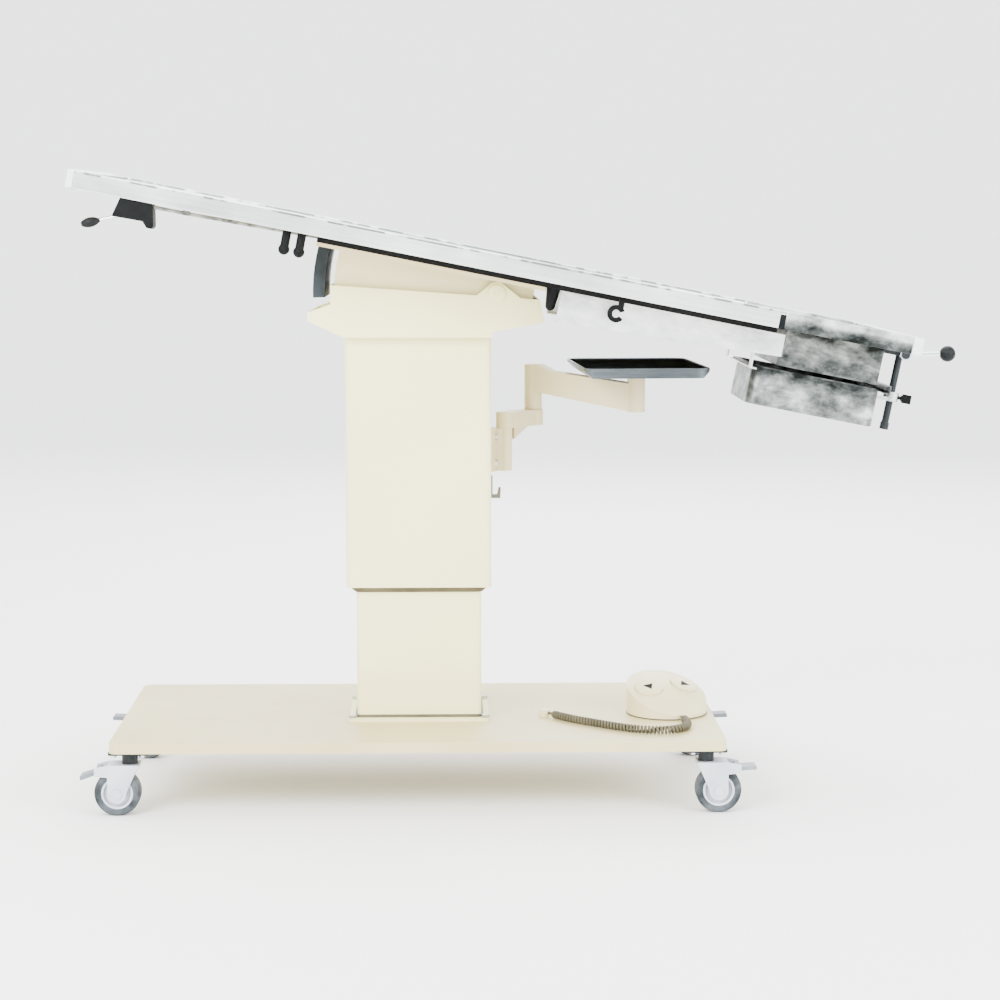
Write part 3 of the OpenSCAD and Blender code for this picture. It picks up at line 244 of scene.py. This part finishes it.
def grain(tree, sizes, turn=0.0, detail=2.0, roughness=0.5, distortion=0.0):
    # Noise whose spots have the given sizes in millimetres along X, Y and Z, turned about Y
    place = addNode(tree, "ShaderNodeTexCoord").outputs["Object"]
    turned = addNode(tree, "ShaderNodeMapping", {"Vector": place, "Rotation": (0, -turn, 0)})
    scaled = addNode(tree, "ShaderNodeMapping", {
        "Vector": turned.outputs[0], "Scale": [1000 / size for size in sizes],
    })
    noise = addNode(tree, "ShaderNodeTexNoise", {
        "Vector": scaled.outputs[0], "Scale": 1.0, "Detail": detail, "Roughness": roughness,
        "Distortion": distortion,
    })
    return noise.outputs["Fac"]


def spread(tree, value, low, high, fromLow=0.3, fromHigh=0.7):
    made = addNode(tree, "ShaderNodeMapRange", {
        "Value": value, "From Min": fromLow, "From Max": fromHigh, "To Min": low, "To Max": high,
    })
    return made.outputs["Result"]


def ramp(tree, value, stops):
    # Each stop is a place and either a colour or a plain share of white
    made = addNode(tree, "ShaderNodeValToRGB", {"Fac": value})
    elements = made.color_ramp.elements
    while len(elements) < len(stops):
        elements.new(0.5)
    for element, (place, tone) in zip(elements, stops):
        element.position = place
        element.color = toLinear(tone) if isinstance(tone, str) else (tone, tone, tone, 1)
    return made.outputs["Color"]


def tableHeight(tree, low, high):
    # How far a point lies above the tilt pivot, square to the tabletop: 0 at low and 1 at high, in mm
    place = addNode(tree, "ShaderNodeTexCoord").outputs["Object"]
    offset = addNode(tree, "ShaderNodeVectorMath", {0: place, 1: pivot}, operation="SUBTRACT").outputs[0]
    rise = addNode(tree, "ShaderNodeVectorMath", {0: offset, 1: tableUp}, operation="DOT_PRODUCT")
    return spread(tree, rise.outputs["Value"], 0, 1, low * mm, high * mm)


def blended(tree, operation, first, second):
    return addNode(tree, "ShaderNodeMath", {0: first, 1: second}, operation=operation).outputs[0]


def relief(tree, shader, height, depthMm, strength):
    made = addNode(tree, "ShaderNodeBump", {
        "Height": height, "Distance": depthMm * mm, "Strength": strength,
    })
    tree.links.new(made.outputs[0], shader.inputs["Normal"])


def feed(tree, shader, **sockets):
    for socket, value in sockets.items():
        tree.links.new(value, shader.inputs[socket.replace("_", " ")])


# Powder coat on welded steel: a soft gloss with a fine orange peel, a little uneven in tone.
# The real peel is about 1.5 mm wide, drawn here at 5 mm so that it shows
def powderCoat(name, light, dark, roughness=0.42, peelMm=5.0, gloss=0.5):
    material, tree, shader = newMaterial(
        name, IOR=1.5, Specular_IOR_Level=gloss, Coat_Weight=0.24 * gloss, Coat_Roughness=0.25
    )
    cloud = grain(tree, (260, 260, 260), detail=3)
    peel = grain(tree, (peelMm, peelMm, peelMm), detail=2)
    feed(
        tree, shader,
        Base_Color=ramp(tree, cloud, [(0.30, dark), (0.70, light)]),
        Roughness=spread(tree, peel, roughness - 0.05, roughness + 0.06),
    )
    relief(tree, shader, peel, 0.12, 0.35)
    return material


# Stainless sheet, brushed along one way: long fine scratches that stretch the highlights.
# Real grit lines are 0.1 mm apart, drawn 2 to 3 mm apart so that they show
def brushedSteel(name, light, dark, turn=0.0, along=(180, 2, 2), roughness=0.3, shadowDashes=None):
    material, tree, shader = newMaterial(name, Metallic=1.0, Anisotropic=0.4)
    lines = grain(tree, along, turn=turn, detail=4, roughness=0.65)
    smudge = grain(tree, (140, 90, 90), turn=turn, detail=3, distortion=0.4)
    tone = addNode(
        tree, "ShaderNodeMath", {0: lines, 1: smudge, 2: 0.2}, operation="MULTIPLY_ADD"
    ).outputs[0]
    toneStops = [(0.32, dark), (0.60, light)]
    if shadowDashes is not None:
        # Painted shadow: the folded edge is greyed in short dashes, standing for the shadow where the top sheet
        # meets the side, from its low to its high line above the pivot
        band = ramp(tree, tableHeight(tree, *shadowDashes["band"]), shadowDashes["fade"])
        runs = grain(tree, shadowDashes["dashes"], turn=turn, detail=2)
        dashes = spread(tree, runs, 0, shadowDashes["depth"], *shadowDashes["runs"])
        tone = blended(tree, "SUBTRACT", tone, blended(tree, "MULTIPLY", band, dashes))
        toneStops.insert(0, (0.08, shadowDashes["tone"]))
    feed(
        tree, shader,
        Base_Color=ramp(tree, tone, toneStops),
        Roughness=spread(tree, smudge, roughness - 0.06, roughness + 0.08),
    )
    relief(tree, shader, lines, 0.05, 0.3)
    return material


# Deep-drawn stainless with a cloudy mill finish: grey patches of several tones, painted into the colour. On the
# drain end they are painted reflections, standing for the steel's mottled dark reflections
def mottledSteel(name, tones, turn=0.0, levels=None):
    material, tree, shader = newMaterial(name, Metallic=1.0)
    patches = grain(tree, (42, 40, 26), turn=turn, detail=4, roughness=0.62, distortion=0.2)
    ripple = grain(tree, (60, 60, 24), turn=turn, detail=2)
    tone = patches
    if levels is not None:
        # Painted shade and reflection: it is made darker or paler at given heights above the pivot
        level = ramp(tree, tableHeight(tree, *levels["from"]), levels["shares"])
        tone = blended(tree, "ADD", blended(tree, "SUBTRACT", patches, 0.5), level)
    feed(
        tree, shader,
        Base_Color=ramp(tree, tone, tones),
        Roughness=spread(tree, ripple, 0.30, 0.46),
    )
    relief(tree, shader, ripple, 0.8, 0.3)
    return material


# Moulded plastic: a fine spark-eroded grain, a little soft in the gloss.
# The real grain is about 0.1 mm wide, drawn at 3 mm so that it shows
def mouldedPlastic(name, light, dark, roughness=0.45, grainMm=3.0, depthMm=0.08, gloss=0.5, cloudMm=60):
    material, tree, shader = newMaterial(name, IOR=1.49, Specular_IOR_Level=gloss)
    cloud = grain(tree, (cloudMm, cloudMm, cloudMm), detail=3)
    pores = grain(tree, (grainMm, grainMm, grainMm), detail=3)
    feed(
        tree, shader,
        Base_Color=ramp(tree, cloud, [(0.32, dark), (0.68, light)]),
        Roughness=spread(tree, pores, roughness - 0.07, roughness + 0.08),
    )
    relief(tree, shader, pores, depthMm, 0.3)
    return material


# Vulcanised rubber: dull, with a dusty bloom in soft patches.
# Its real pores are under 0.5 mm wide, drawn at 2.5 mm so that they show
def vulcanisedRubber(name, light, dark, roughness=0.7, gloss=0.2):
    material, tree, shader = newMaterial(name, IOR=1.52, Specular_IOR_Level=gloss)
    bloom = grain(tree, (35, 35, 35), detail=4, distortion=0.5)
    pores = grain(tree, (2.5, 2.5, 2.5), detail=3)
    feed(
        tree, shader,
        Base_Color=ramp(tree, bloom, [(0.34, dark), (0.72, light)]),
        Roughness=spread(tree, pores, roughness - 0.08, roughness + 0.08),
    )
    relief(tree, shader, pores, 0.15, 0.35)
    return material


# Plated or ground metal: bright, with faint turning marks round the piece.
# The real marks are about 0.2 mm apart, drawn at 2 mm so that they show
def platedSteel(name, light, dark, roughness=0.18):
    material, tree, shader = newMaterial(name, Metallic=1.0)
    marks = grain(tree, (9, 9, 2), detail=3)
    feed(
        tree, shader,
        Base_Color=ramp(tree, marks, [(0.3, dark), (0.7, light)]),
        Roughness=spread(tree, marks, roughness - 0.05, roughness + 0.08),
    )
    return material


# A plated steel arm with a moulded black grip: inside the reach of the grip's middle it is plastic
def grippedRod(name, middle, reachMm, edgeMm=0.4):
    material, tree, shader = newMaterial(name, Specular_IOR_Level=0.12)
    place = addNode(tree, "ShaderNodeTexCoord").outputs["Object"]
    away = addNode(tree, "ShaderNodeVectorMath", {0: place, 1: middle}, operation="DISTANCE")
    bare = spread(
        tree, away.outputs["Value"], 0, 1, (reachMm - edgeMm) * mm, (reachMm + edgeMm) * mm
    )
    pores = grain(tree, (3, 3, 3), detail=3)
    smooth = spread(tree, bare, 0.42, 0.2, 0, 1)
    feed(
        tree, shader,
        Base_Color=ramp(tree, bare, [(0.4, "#121415"), (0.6, "#d9dcde")]),
        Metallic=bare,
        Roughness=blended(tree, "ADD", smooth, spread(tree, pores, -0.05, 0.08)),
    )
    relief(tree, shader, pores, 0.06, 0.3)
    return material


# Birch plywood: pale wood with long grain and darker glue lines at the sheet's edge
def birchPlywood(name):
    material, tree, shader = newMaterial(name, IOR=1.45, Roughness=0.6)
    fibres = grain(tree, (160, 5, 3), turn=tilt, detail=4, distortion=0.6)
    plies = grain(tree, (4000, 4000, 4), turn=tilt, detail=0)
    mixed = addNode(tree, "ShaderNodeMath", {0: fibres, 1: plies, 2: 0.22}, operation="MULTIPLY_ADD")
    feed(tree, shader, Base_Color=ramp(tree, mixed.outputs[0], [(0.3, "#a98a5c"), (0.62, "#dcc498")]))
    relief(tree, shader, fibres, 0.2, 0.3)
    return material


# The steel of the drain end: its tones from dark to pale, which are painted reflections, and its mean tone at each
# height, which is painted shade and reflection
paintedReflectionTones = [
    (0.28, "#1b1e1d"), (0.40, "#454948"), (0.50, "#686c6b"), (0.60, "#8c908e"), (0.74, "#c2c6c4"),
    (0.92, "#eef0ef"),
]
paintedShadeLevels = {
    "from": (-100, 70),
    "shares": [
        (0.02, 0.52), (0.25, 0.55), (0.33, 0.44), (0.39, 0.37), (0.45, 0.43), (0.58, 0.47), (0.74, 0.42),
        (0.81, 0.33), (0.86, 0.38), (0.89, 0.50), (0.915, 0.68), (0.97, 0.70),
    ],
}
beamTones = [(0.30, "#b9bebd"), (0.48, "#dfe2e2"), (0.68, "#f4f6f6")]
# Painted shadow: a grey line in short dashes along the top panel's folded upper edge, where its top meets its side
rimShadowDashes = {
    "band": (60.2, 64.2), "fade": [(0, 0.0), (0.15, 1.0), (0.85, 1.0), (1, 0.0)],
    "dashes": (30, 400, 400), "runs": (0.42, 0.56), "depth": 0.45, "tone": "#7f8585",
}
# One finish for each material slot of the record
finishes = {
    "cream_paint": powderCoat("creamPowderCoatedSteel", "#ece6ac", "#e5dda3"),
    "beige_paint": powderCoat("beigePowderCoatedSteel", "#cdc08e", "#bdae7b"),
    "arm_paint": powderCoat("armPowderCoatedSteel", "#c6b98f", "#b8aa80", roughness=0.5),
    "hook_paint": powderCoat("taupePowderCoatedSteel", "#6a665b", "#57544a", roughness=0.5, gloss=0.3),
    "stainless": brushedSteel(
        "brushedStainlessSheet", "#f8f9f9", "#d3d7d8", turn=tilt, along=(260, 3.2, 3.2), shadowDashes=rimShadowDashes
    ),
    "beam_steel": mottledSteel("dulledStainlessChannel", beamTones, turn=tilt),
    "tray_steel": brushedSteel("handledBrushedStainless", "#5c6266", "#454b4f", roughness=0.36),
    # Painted reflection and shade: dark and pale patches and height bands in the basin's colour
    "basin_steel": mottledSteel("drawnStainlessPaintedReflections", paintedReflectionTones, turn=tilt, levels=paintedShadeLevels),
    "core_board": birchPlywood("sealedBirchPlywood"),
    "white_laminate": mouldedPlastic("edgeStripAbs", "#e3e6e6", "#d0d4d5", roughness=0.35),
    "black_rail": powderCoat("blackPowderCoatedSteel", "#121416", "#0b0c0d", roughness=0.5, gloss=0.08),
    "black_plastic": mouldedPlastic("blackMouldedNylon", "#0f1112", "#070808", roughness=0.5, gloss=0.08),
    "blue_black_plastic": mouldedPlastic("blueBlackMouldedNylon", "#2b3439", "#15191b", gloss=0.2),
    "black_rubber": vulcanisedRubber(
        "blackVulcanisedRubber", "#1b1e1f", "#0d0f10", roughness=0.85, gloss=0.0
    ),
    # Painted shade: the release cable's sheath is patchy, pale to near black in short runs, standing for the
    # broken shadow line under the panel's lower edge
    "cable_sheath": mouldedPlastic(
        "patchyShadedGreyCableSheath", "#a3a7a7", "#303536", roughness=0.5, gloss=0.2, cloudMm=26
    ),
    "grey_tyre": vulcanisedRubber("greyRubberTread", "#5f656a", "#23282b", roughness=0.62),
    "grey_plastic": mouldedPlastic("greyMouldedPolyamide", "#c3c7d0", "#a7abb6", roughness=0.36),
    "switch_plastic": mouldedPlastic("creamMouldedAbs", "#ddd3aa", "#cfc497", roughness=0.4),
    "cord_jacket": mouldedPlastic("greyBrownPvcJacket", "#5f5945", "#443f32", roughness=0.5, gloss=0.25),
    "dark_steel": powderCoat("blackenedSteel", "#262a2c", "#15181a", roughness=0.42, gloss=0.15),
    "bright_steel": platedSteel("brightPlatedSteel", "#dfe1e3", "#a6abae"),
    "bronze": platedSteel("sinteredBronze", "#b98f56", "#8f6a38", roughness=0.4),
    "nylon": mouldedPlastic("naturalCastNylon", "#ece7d6", "#ddd6c0", roughness=0.5),
    "grey_paint": powderCoat("greyMachinePaintedSteel", "#7c8287", "#5f656b", roughness=0.4, gloss=0.3),
}
# The middle of each lever's grip, from the corner of its box, and how far the grip reaches from there
grips = {"ballRadius": 13.5, "ballReach": 14, "lensFromEnd": 14, "lensFromBottom": 9, "lensReach": 17}
ballLow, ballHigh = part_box("clamp_lever")
ballInset = grips["ballRadius"] * mm
ballMiddle = Vector((ballHigh.x - ballInset, ballLow.y + ballInset, ballHigh.z - ballInset))
lensLow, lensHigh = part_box("release_lever")
lensMiddle = Vector((
    lensLow.x + grips["lensFromEnd"] * mm, (lensLow.y + lensHigh.y) / 2,
    lensLow.z + grips["lensFromBottom"] * mm,
))
# The cradle under the rails is painted a shade darker than the cream paint, which is painted shade under the
# tabletop, and two levers have a plated arm under their grip
ownFinishes = {
    "tilt_cradle": powderCoat("cradleShadedCreamPowderCoat", "#ded4a3", "#cdc294"),
    "clamp_lever": grippedRod("platedArmWithBall", ballMiddle, grips["ballReach"]),
    "release_lever": grippedRod("platedArmWithGrip", lensMiddle, grips["lensReach"]),
}
for part in record["subparts"]:
    cadNode = frame["nodes"][part["node"]]
    cadNode.data.materials.clear()
    cadNode.data.materials.append(ownFinishes.get(part["node"], finishes[part["material_slot"]]))
curlyCordPiece.data.materials.append(finishes["cord_jacket"])
print("materials made:", len(finishes) + len(ownFinishes))

# How far the edges of each CAD piece are eased, in millimetres: folded sheet, castings, mouldings.
# Only an edge that turns by more than the given degrees is eased
easeAngle = 38
easedEdges = {
    "base_plate": 2.5, "lower_column": 1.0, "outer_sleeve": 1.0, "head_housing": 3.0, "tilt_cradle": 1.2,
    "top_panel": 1.6, "drain_section": 1.2, "end_trims": 3.0, "frame_rails": 1.0, "side_beams": 0.8,
    "drain_pan": 0.8, "instrument_tray": 0.8, "upper_arm": 4.0, "lower_arm": 3.0, "tray_bracket": 2.5,
    "foot_switch_housing": 0.9, "up_pad": 1.0, "down_pad": 1.0, "control_box": 3.0, "release_block": 2.5,
    "tilt_shield": 1.0, "cable_hook": 1.2, "tie_cleats": 1.0, "hanger_rod": 1.0, "rod_collar": 1.2,
    "thumb_screw": 1.2, "tray_mat": 1.0, "caster_plates": 0.8,
}
for part in record["subparts"]:
    if part["node"].startswith(("caster_fork", "brake_pedal")):
        easedEdges[part["node"]] = 1.2
    if part["node"].startswith("caster_hub"):
        easedEdges[part["node"]] = 0.8


weldReach = 0.002 * mm


def easeEdges(name, widthMm):
    cadNode = frame["nodes"][name]
    weld = cadNode.modifiers.new("join", "WELD")
    weld.merge_threshold = weldReach
    ease = cadNode.modifiers.new("ease", "BEVEL")
    ease.width = widthMm * mm
    ease.segments = 3
    ease.limit_method = "ANGLE"
    ease.angle_limit = math.radians(easeAngle)
    cadNode.modifiers.new("even", "WEIGHTED_NORMAL")


for nodeName, widthMm in easedEdges.items():
    easeEdges(nodeName, widthMm)
print("edges eased:", len(easedEdges))


def dressed(name, mesh, body, slot):
    mesh.materials.append(finishes[slot])
    addObject(name, mesh, body)


# Dark inlays in the sunk arrows of the two press pads, laid on the domed face
arrowInlay = {
    "tip": 8.4, "tail": 6.5, "half": 9.0, "domeRadius": 222.0, "domeRise": 2.0, "thick": 1.3, "cuts": 4,
}
upPress, downPress = joints["up_pad_press"], joints["down_pad_press"]
faceAcross = (Vector(upPress["pos_m"]) - Vector(downPress["pos_m"])).normalized()
faceNormal = -Vector(upPress["axis"]).normalized()
faceRise = faceNormal.cross(faceAcross)
faceMiddle = (Vector(upPress["pos_m"]) + Vector(downPress["pos_m"])) / 2


def onFace(x, y, radius):
    # A point of the dome above x and y of the face, all in metres
    middleDepth = (arrowInlay["domeRadius"] - arrowInlay["domeRise"]) * mm
    height = math.sqrt(radius * radius - x * x - y * y) - middleDepth
    return faceMiddle + x * faceAcross + y * faceRise + height * faceNormal


def makeArrow(name, padX, direction, body):
    made = bmesh.new()
    outline = [
        (0, arrowInlay["tip"]), (-arrowInlay["half"], -arrowInlay["tail"]),
        (arrowInlay["half"], -arrowInlay["tail"]),
    ]
    made.faces.new([made.verts.new((x * mm, direction * y * mm, 0)) for x, y in outline])
    bmesh.ops.subdivide_edges(made, edges=made.edges[:], cuts=arrowInlay["cuts"], use_grid_fill=True)
    bmesh.ops.triangulate(made, faces=made.faces[:])
    raised = bmesh.ops.extrude_face_region(made, geom=made.faces[:])["geom"]
    top = {item for item in raised if isinstance(item, bmesh.types.BMVert)}
    for vertex in made.verts:
        radius = arrowInlay["domeRadius"] + (arrowInlay["thick"] if vertex in top else 0)
        vertex.co = onFace(vertex.co.x + padX, vertex.co.y, radius * mm)
    dressed(name, finishedMesh(name, made), body, "black_plastic")


padOffset = (Vector(upPress["pos_m"]) - faceMiddle).length
makeArrow("upArrowInlay", padOffset, 1, "up_pad")
makeArrow("downArrowInlay", -padOffset, -1, "down_pad")
print("arrow inlays laid")


def fanRing(made, tip, ring):
    for k in range(len(ring)):
        made.faces.new((tip, ring[k], ring[(k + 1) % len(ring)]))


# A turned piece: its profile gives radius and height in millimetres, and its two ends close on the axis
def turnedPiece(name, piece, place, axis, body, slot):
    made = bmesh.new()
    across = axis.orthogonal().normalized()
    other = axis.cross(across)
    rings = [
        addRing(made, place + height * mm * axis, radius * mm, across, other, piece["sides"])
        for radius, height in piece["profile"]
    ]
    for low, high in zip(rings, rings[1:]):
        joinRings(made, low, high)
    fanRing(made, made.verts.new(place + piece["innerEnd"] * mm * axis), rings[0])
    fanRing(made, made.verts.new(place + piece["outerEnd"] * mm * axis), rings[-1])
    mesh = finishedMesh(name, made)
    for face in mesh.polygons:
        face.use_smooth = True
    mesh.set_sharp_from_angle(angle=math.radians(piece["creaseAngle"]))
    dressed(name, mesh, body, slot)


# Moulded covers snapped over the ends of the tilt shaft, on the head's two sides
pivotCover = {
    "profile": [
        (11, 3.8), (12.6, 3.2), (12.6, 0.05), (14.6, 0.05), (14.6, 2.4), (13.4, 4.0), (10, 5.0),
        (5, 5.6), (3.4, 5.7), (2.8, 4.9),
    ],
    "innerEnd": 3.8, "outerEnd": 4.8, "sides": 48, "creaseAngle": 35,
}
headLow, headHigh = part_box("head_housing")
for side, faceY, name in ((-1, headLow.y, "pivotCoverNear"), (1, headHigh.y, "pivotCoverFar")):
    face = Vector((pivot.x, faceY, pivot.z))
    turnedPiece(name, pivotCover, face, Vector((0, side, 0)), "lift", "cream_paint")

# A sealing bead where the column meets its foot flange, one under the foot switch, and the wiper strip that hangs
# from the sleeve's lower edge and closes the gap round the inner column. The dark grey-brown of the column's bead
# and of the wiper is also painted shade, standing for the shadow line at the column's foot and the shadow under
# the sleeve's lower lip
columnSeals = {
    "flangeMargin": 13, "flangeThick": 6, "columnCorner": 8, "beadRadius": 3.4, "beadRise": 1,
    "switchBead": 1.1, "switchRise": 1.2, "switchSteps": 72, "cornerSteps": 8, "beadSides": 10,
    "wiperDrop": 9, "wiperGap": 0.7, "wiperLip": 1.2, "wiperInset": 2,
}


def roundedLoop(low, high, corner, height):
    # Points round a rectangle with rounded corners, at a height
    steps = columnSeals["cornerSteps"]
    return [
        Vector((cornerX + corner * way.x, cornerY + corner * way.y, height))
        for cornerX, cornerY, start in (
            (high.x - corner, high.y - corner, 0), (low.x + corner, high.y - corner, 90),
            (low.x + corner, low.y + corner, 180), (high.x - corner, low.y + corner, 270),
        )
        for way in (heading(start + 90 * k / steps) for k in range(steps + 1))
    ]


def loopBand(name, loops):
    # A closed band through loops that run in step, the last one joined to the first
    made = bmesh.new()
    rings = [[made.verts.new(point) for point in loop] for loop in loops]
    for low, high in zip(rings, rings[1:] + [rings[0]]):
        joinRings(made, low, high)
    return finishedMesh(name, made)


def makeBead(name, points, radius):
    tube = sweepTube(name, points, radius * mm, columnSeals["beadSides"], closed=True)
    dressed(name, tube, "base", "cord_jacket")


margin = Vector((1, 1, 0)) * columnSeals["flangeMargin"] * mm
footLow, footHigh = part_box("lower_column")
columnLow, columnHigh = footLow + margin, footHigh - margin
columnCorner = columnSeals["columnCorner"] * mm
footHeight = footLow.z + (columnSeals["flangeThick"] + columnSeals["beadRise"]) * mm
footLoop = roundedLoop(columnLow, columnHigh, columnCorner, footHeight)
# Painted shade in part: the bead's dark grey-brown stands for the shadow line where the column meets its flange
makeBead("columnFootBead", footLoop, columnSeals["beadRadius"])

switchLow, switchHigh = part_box("foot_switch_housing")
switchMiddle = (switchLow + switchHigh).to_2d() / 2
switchRadius = (switchHigh.x - switchLow.x) / 2
switchRim = [
    switchMiddle + switchRadius * heading(360 * k / columnSeals["switchSteps"])
    for k in range(columnSeals["switchSteps"])
]
switchLoop = [Vector((point.x, point.y, baseTop + columnSeals["switchRise"] * mm)) for point in switchRim]
makeBead("footSwitchBead", switchLoop, columnSeals["switchBead"])
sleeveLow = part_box("outer_sleeve")[0]


def wiperLoop(outward, height):
    # A loop that runs outward of the inner column, so many millimetres above the sleeve's lower edge
    grown = Vector((1, 1, 0)) * outward * mm
    corner = columnCorner + outward * mm
    return roundedLoop(columnLow - grown, columnHigh + grown, corner, sleeveLow.z + height * mm)


wiperOut = (columnLow.x - sleeveLow.x) / mm - columnSeals["wiperInset"]
drop, gap = columnSeals["wiperDrop"], columnSeals["wiperGap"]
# Its profile, in millimetres out from the inner column and up from the sleeve's lower edge
wiperProfile = [
    (gap, -drop + 0.8), (gap + columnSeals["wiperLip"], -drop), (wiperOut - 3, -0.9), (wiperOut, -0.1),
    (gap + 3, -0.1), (gap + 1.6, -1.0),
]
wiper = loopBand("sleeveWiper", [wiperLoop(*point) for point in wiperProfile])
# Painted shade in part: the wiper's dark grey-brown stands for the shadow under the sleeve's lower lip
dressed("sleeveWiper", wiper, "lift", "cord_jacket")
print("pivot covers, beads and wiper made")

# A pale studio: a floor that sweeps up into a round wall, far enough out for every view
studio = {
    "flat": 7.5, "flatRings": 4, "sweep": 3.0, "wall": 5.0, "sides": 96, "steps": 12, "tone": "#f4f4f3",
}


def makeStudio():
    profile = [(studio["flat"] * k / studio["flatRings"], 0) for k in range(1, studio["flatRings"] + 1)]
    for k in range(1, studio["steps"] + 1):
        a = math.pi / 2 * k / studio["steps"]
        reach = studio["flat"] + studio["sweep"] * math.sin(a)
        profile.append((reach, studio["sweep"] * (1 - math.cos(a))))
    profile.append((studio["flat"] + studio["sweep"], studio["sweep"] + studio["wall"]))
    made = bmesh.new()
    across, other = Vector((1, 0, 0)), Vector((0, 1, 0))
    rings = [
        addRing(made, Vector((0, 0, height)), reach, across, other, studio["sides"])
        for reach, height in profile
    ]
    fanRing(made, made.verts.new((0, 0, 0)), rings[0])
    for low, high in zip(rings, rings[1:]):
        joinRings(made, low, high)
    mesh = finishedMesh("studioFloor", made)
    for face in mesh.polygons:
        face.use_smooth = True
    floor = bpy.data.objects.new("studioFloor", mesh)
    bpy.context.scene.collection.objects.link(floor)
    paint = newMaterial("paintedStudioFloor", IOR=1.45, Base_Color=toLinear(studio["tone"]), Roughness=0.85)
    mesh.materials.append(paint[0])


def makeLight(name, place, aim, size, power):
    data = bpy.data.lights.new(name, "AREA")
    data.shape = "RECTANGLE"
    data.size, data.size_y = size
    data.energy = power
    light = bpy.data.objects.new(name, data)
    light.location = place
    light.rotation_euler = (Vector(aim) - Vector(place)).to_track_quat("-Z", "Y").to_euler()
    bpy.context.scene.collection.objects.link(light)


lights = {
    "keyLight": ((-2.6, -3.6, 2.9), (-0.1, 0, 0.5), (2.6, 2.2), 470),
    "fillLight": ((3.4, -3.0, 2.0), (0.1, 0, 0.5), (2.4, 2.4), 290),
    "topLight": ((0, 0.4, 4.2), (0, 0, 0.5), (3.4, 2.6), 170),
    "backLight": ((0.6, 4.2, 3.0), (0, 0, 0.6), (3.0, 2.0), 200),
}
makeStudio()
for lightName, (place, aim, size, power) in lights.items():
    makeLight(lightName, place, aim, size, power)
daylight = {"tone": "#f7f9fb", "strength": 3.4}
world = bpy.data.worlds.new("softDaylight")
world.use_nodes = True
bpy.context.scene.world = world
world.node_tree.nodes["Background"].inputs["Color"].default_value = toLinear(daylight["tone"])
world.node_tree.nodes["Background"].inputs["Strength"].default_value = daylight["strength"]
print("studio and lights set")
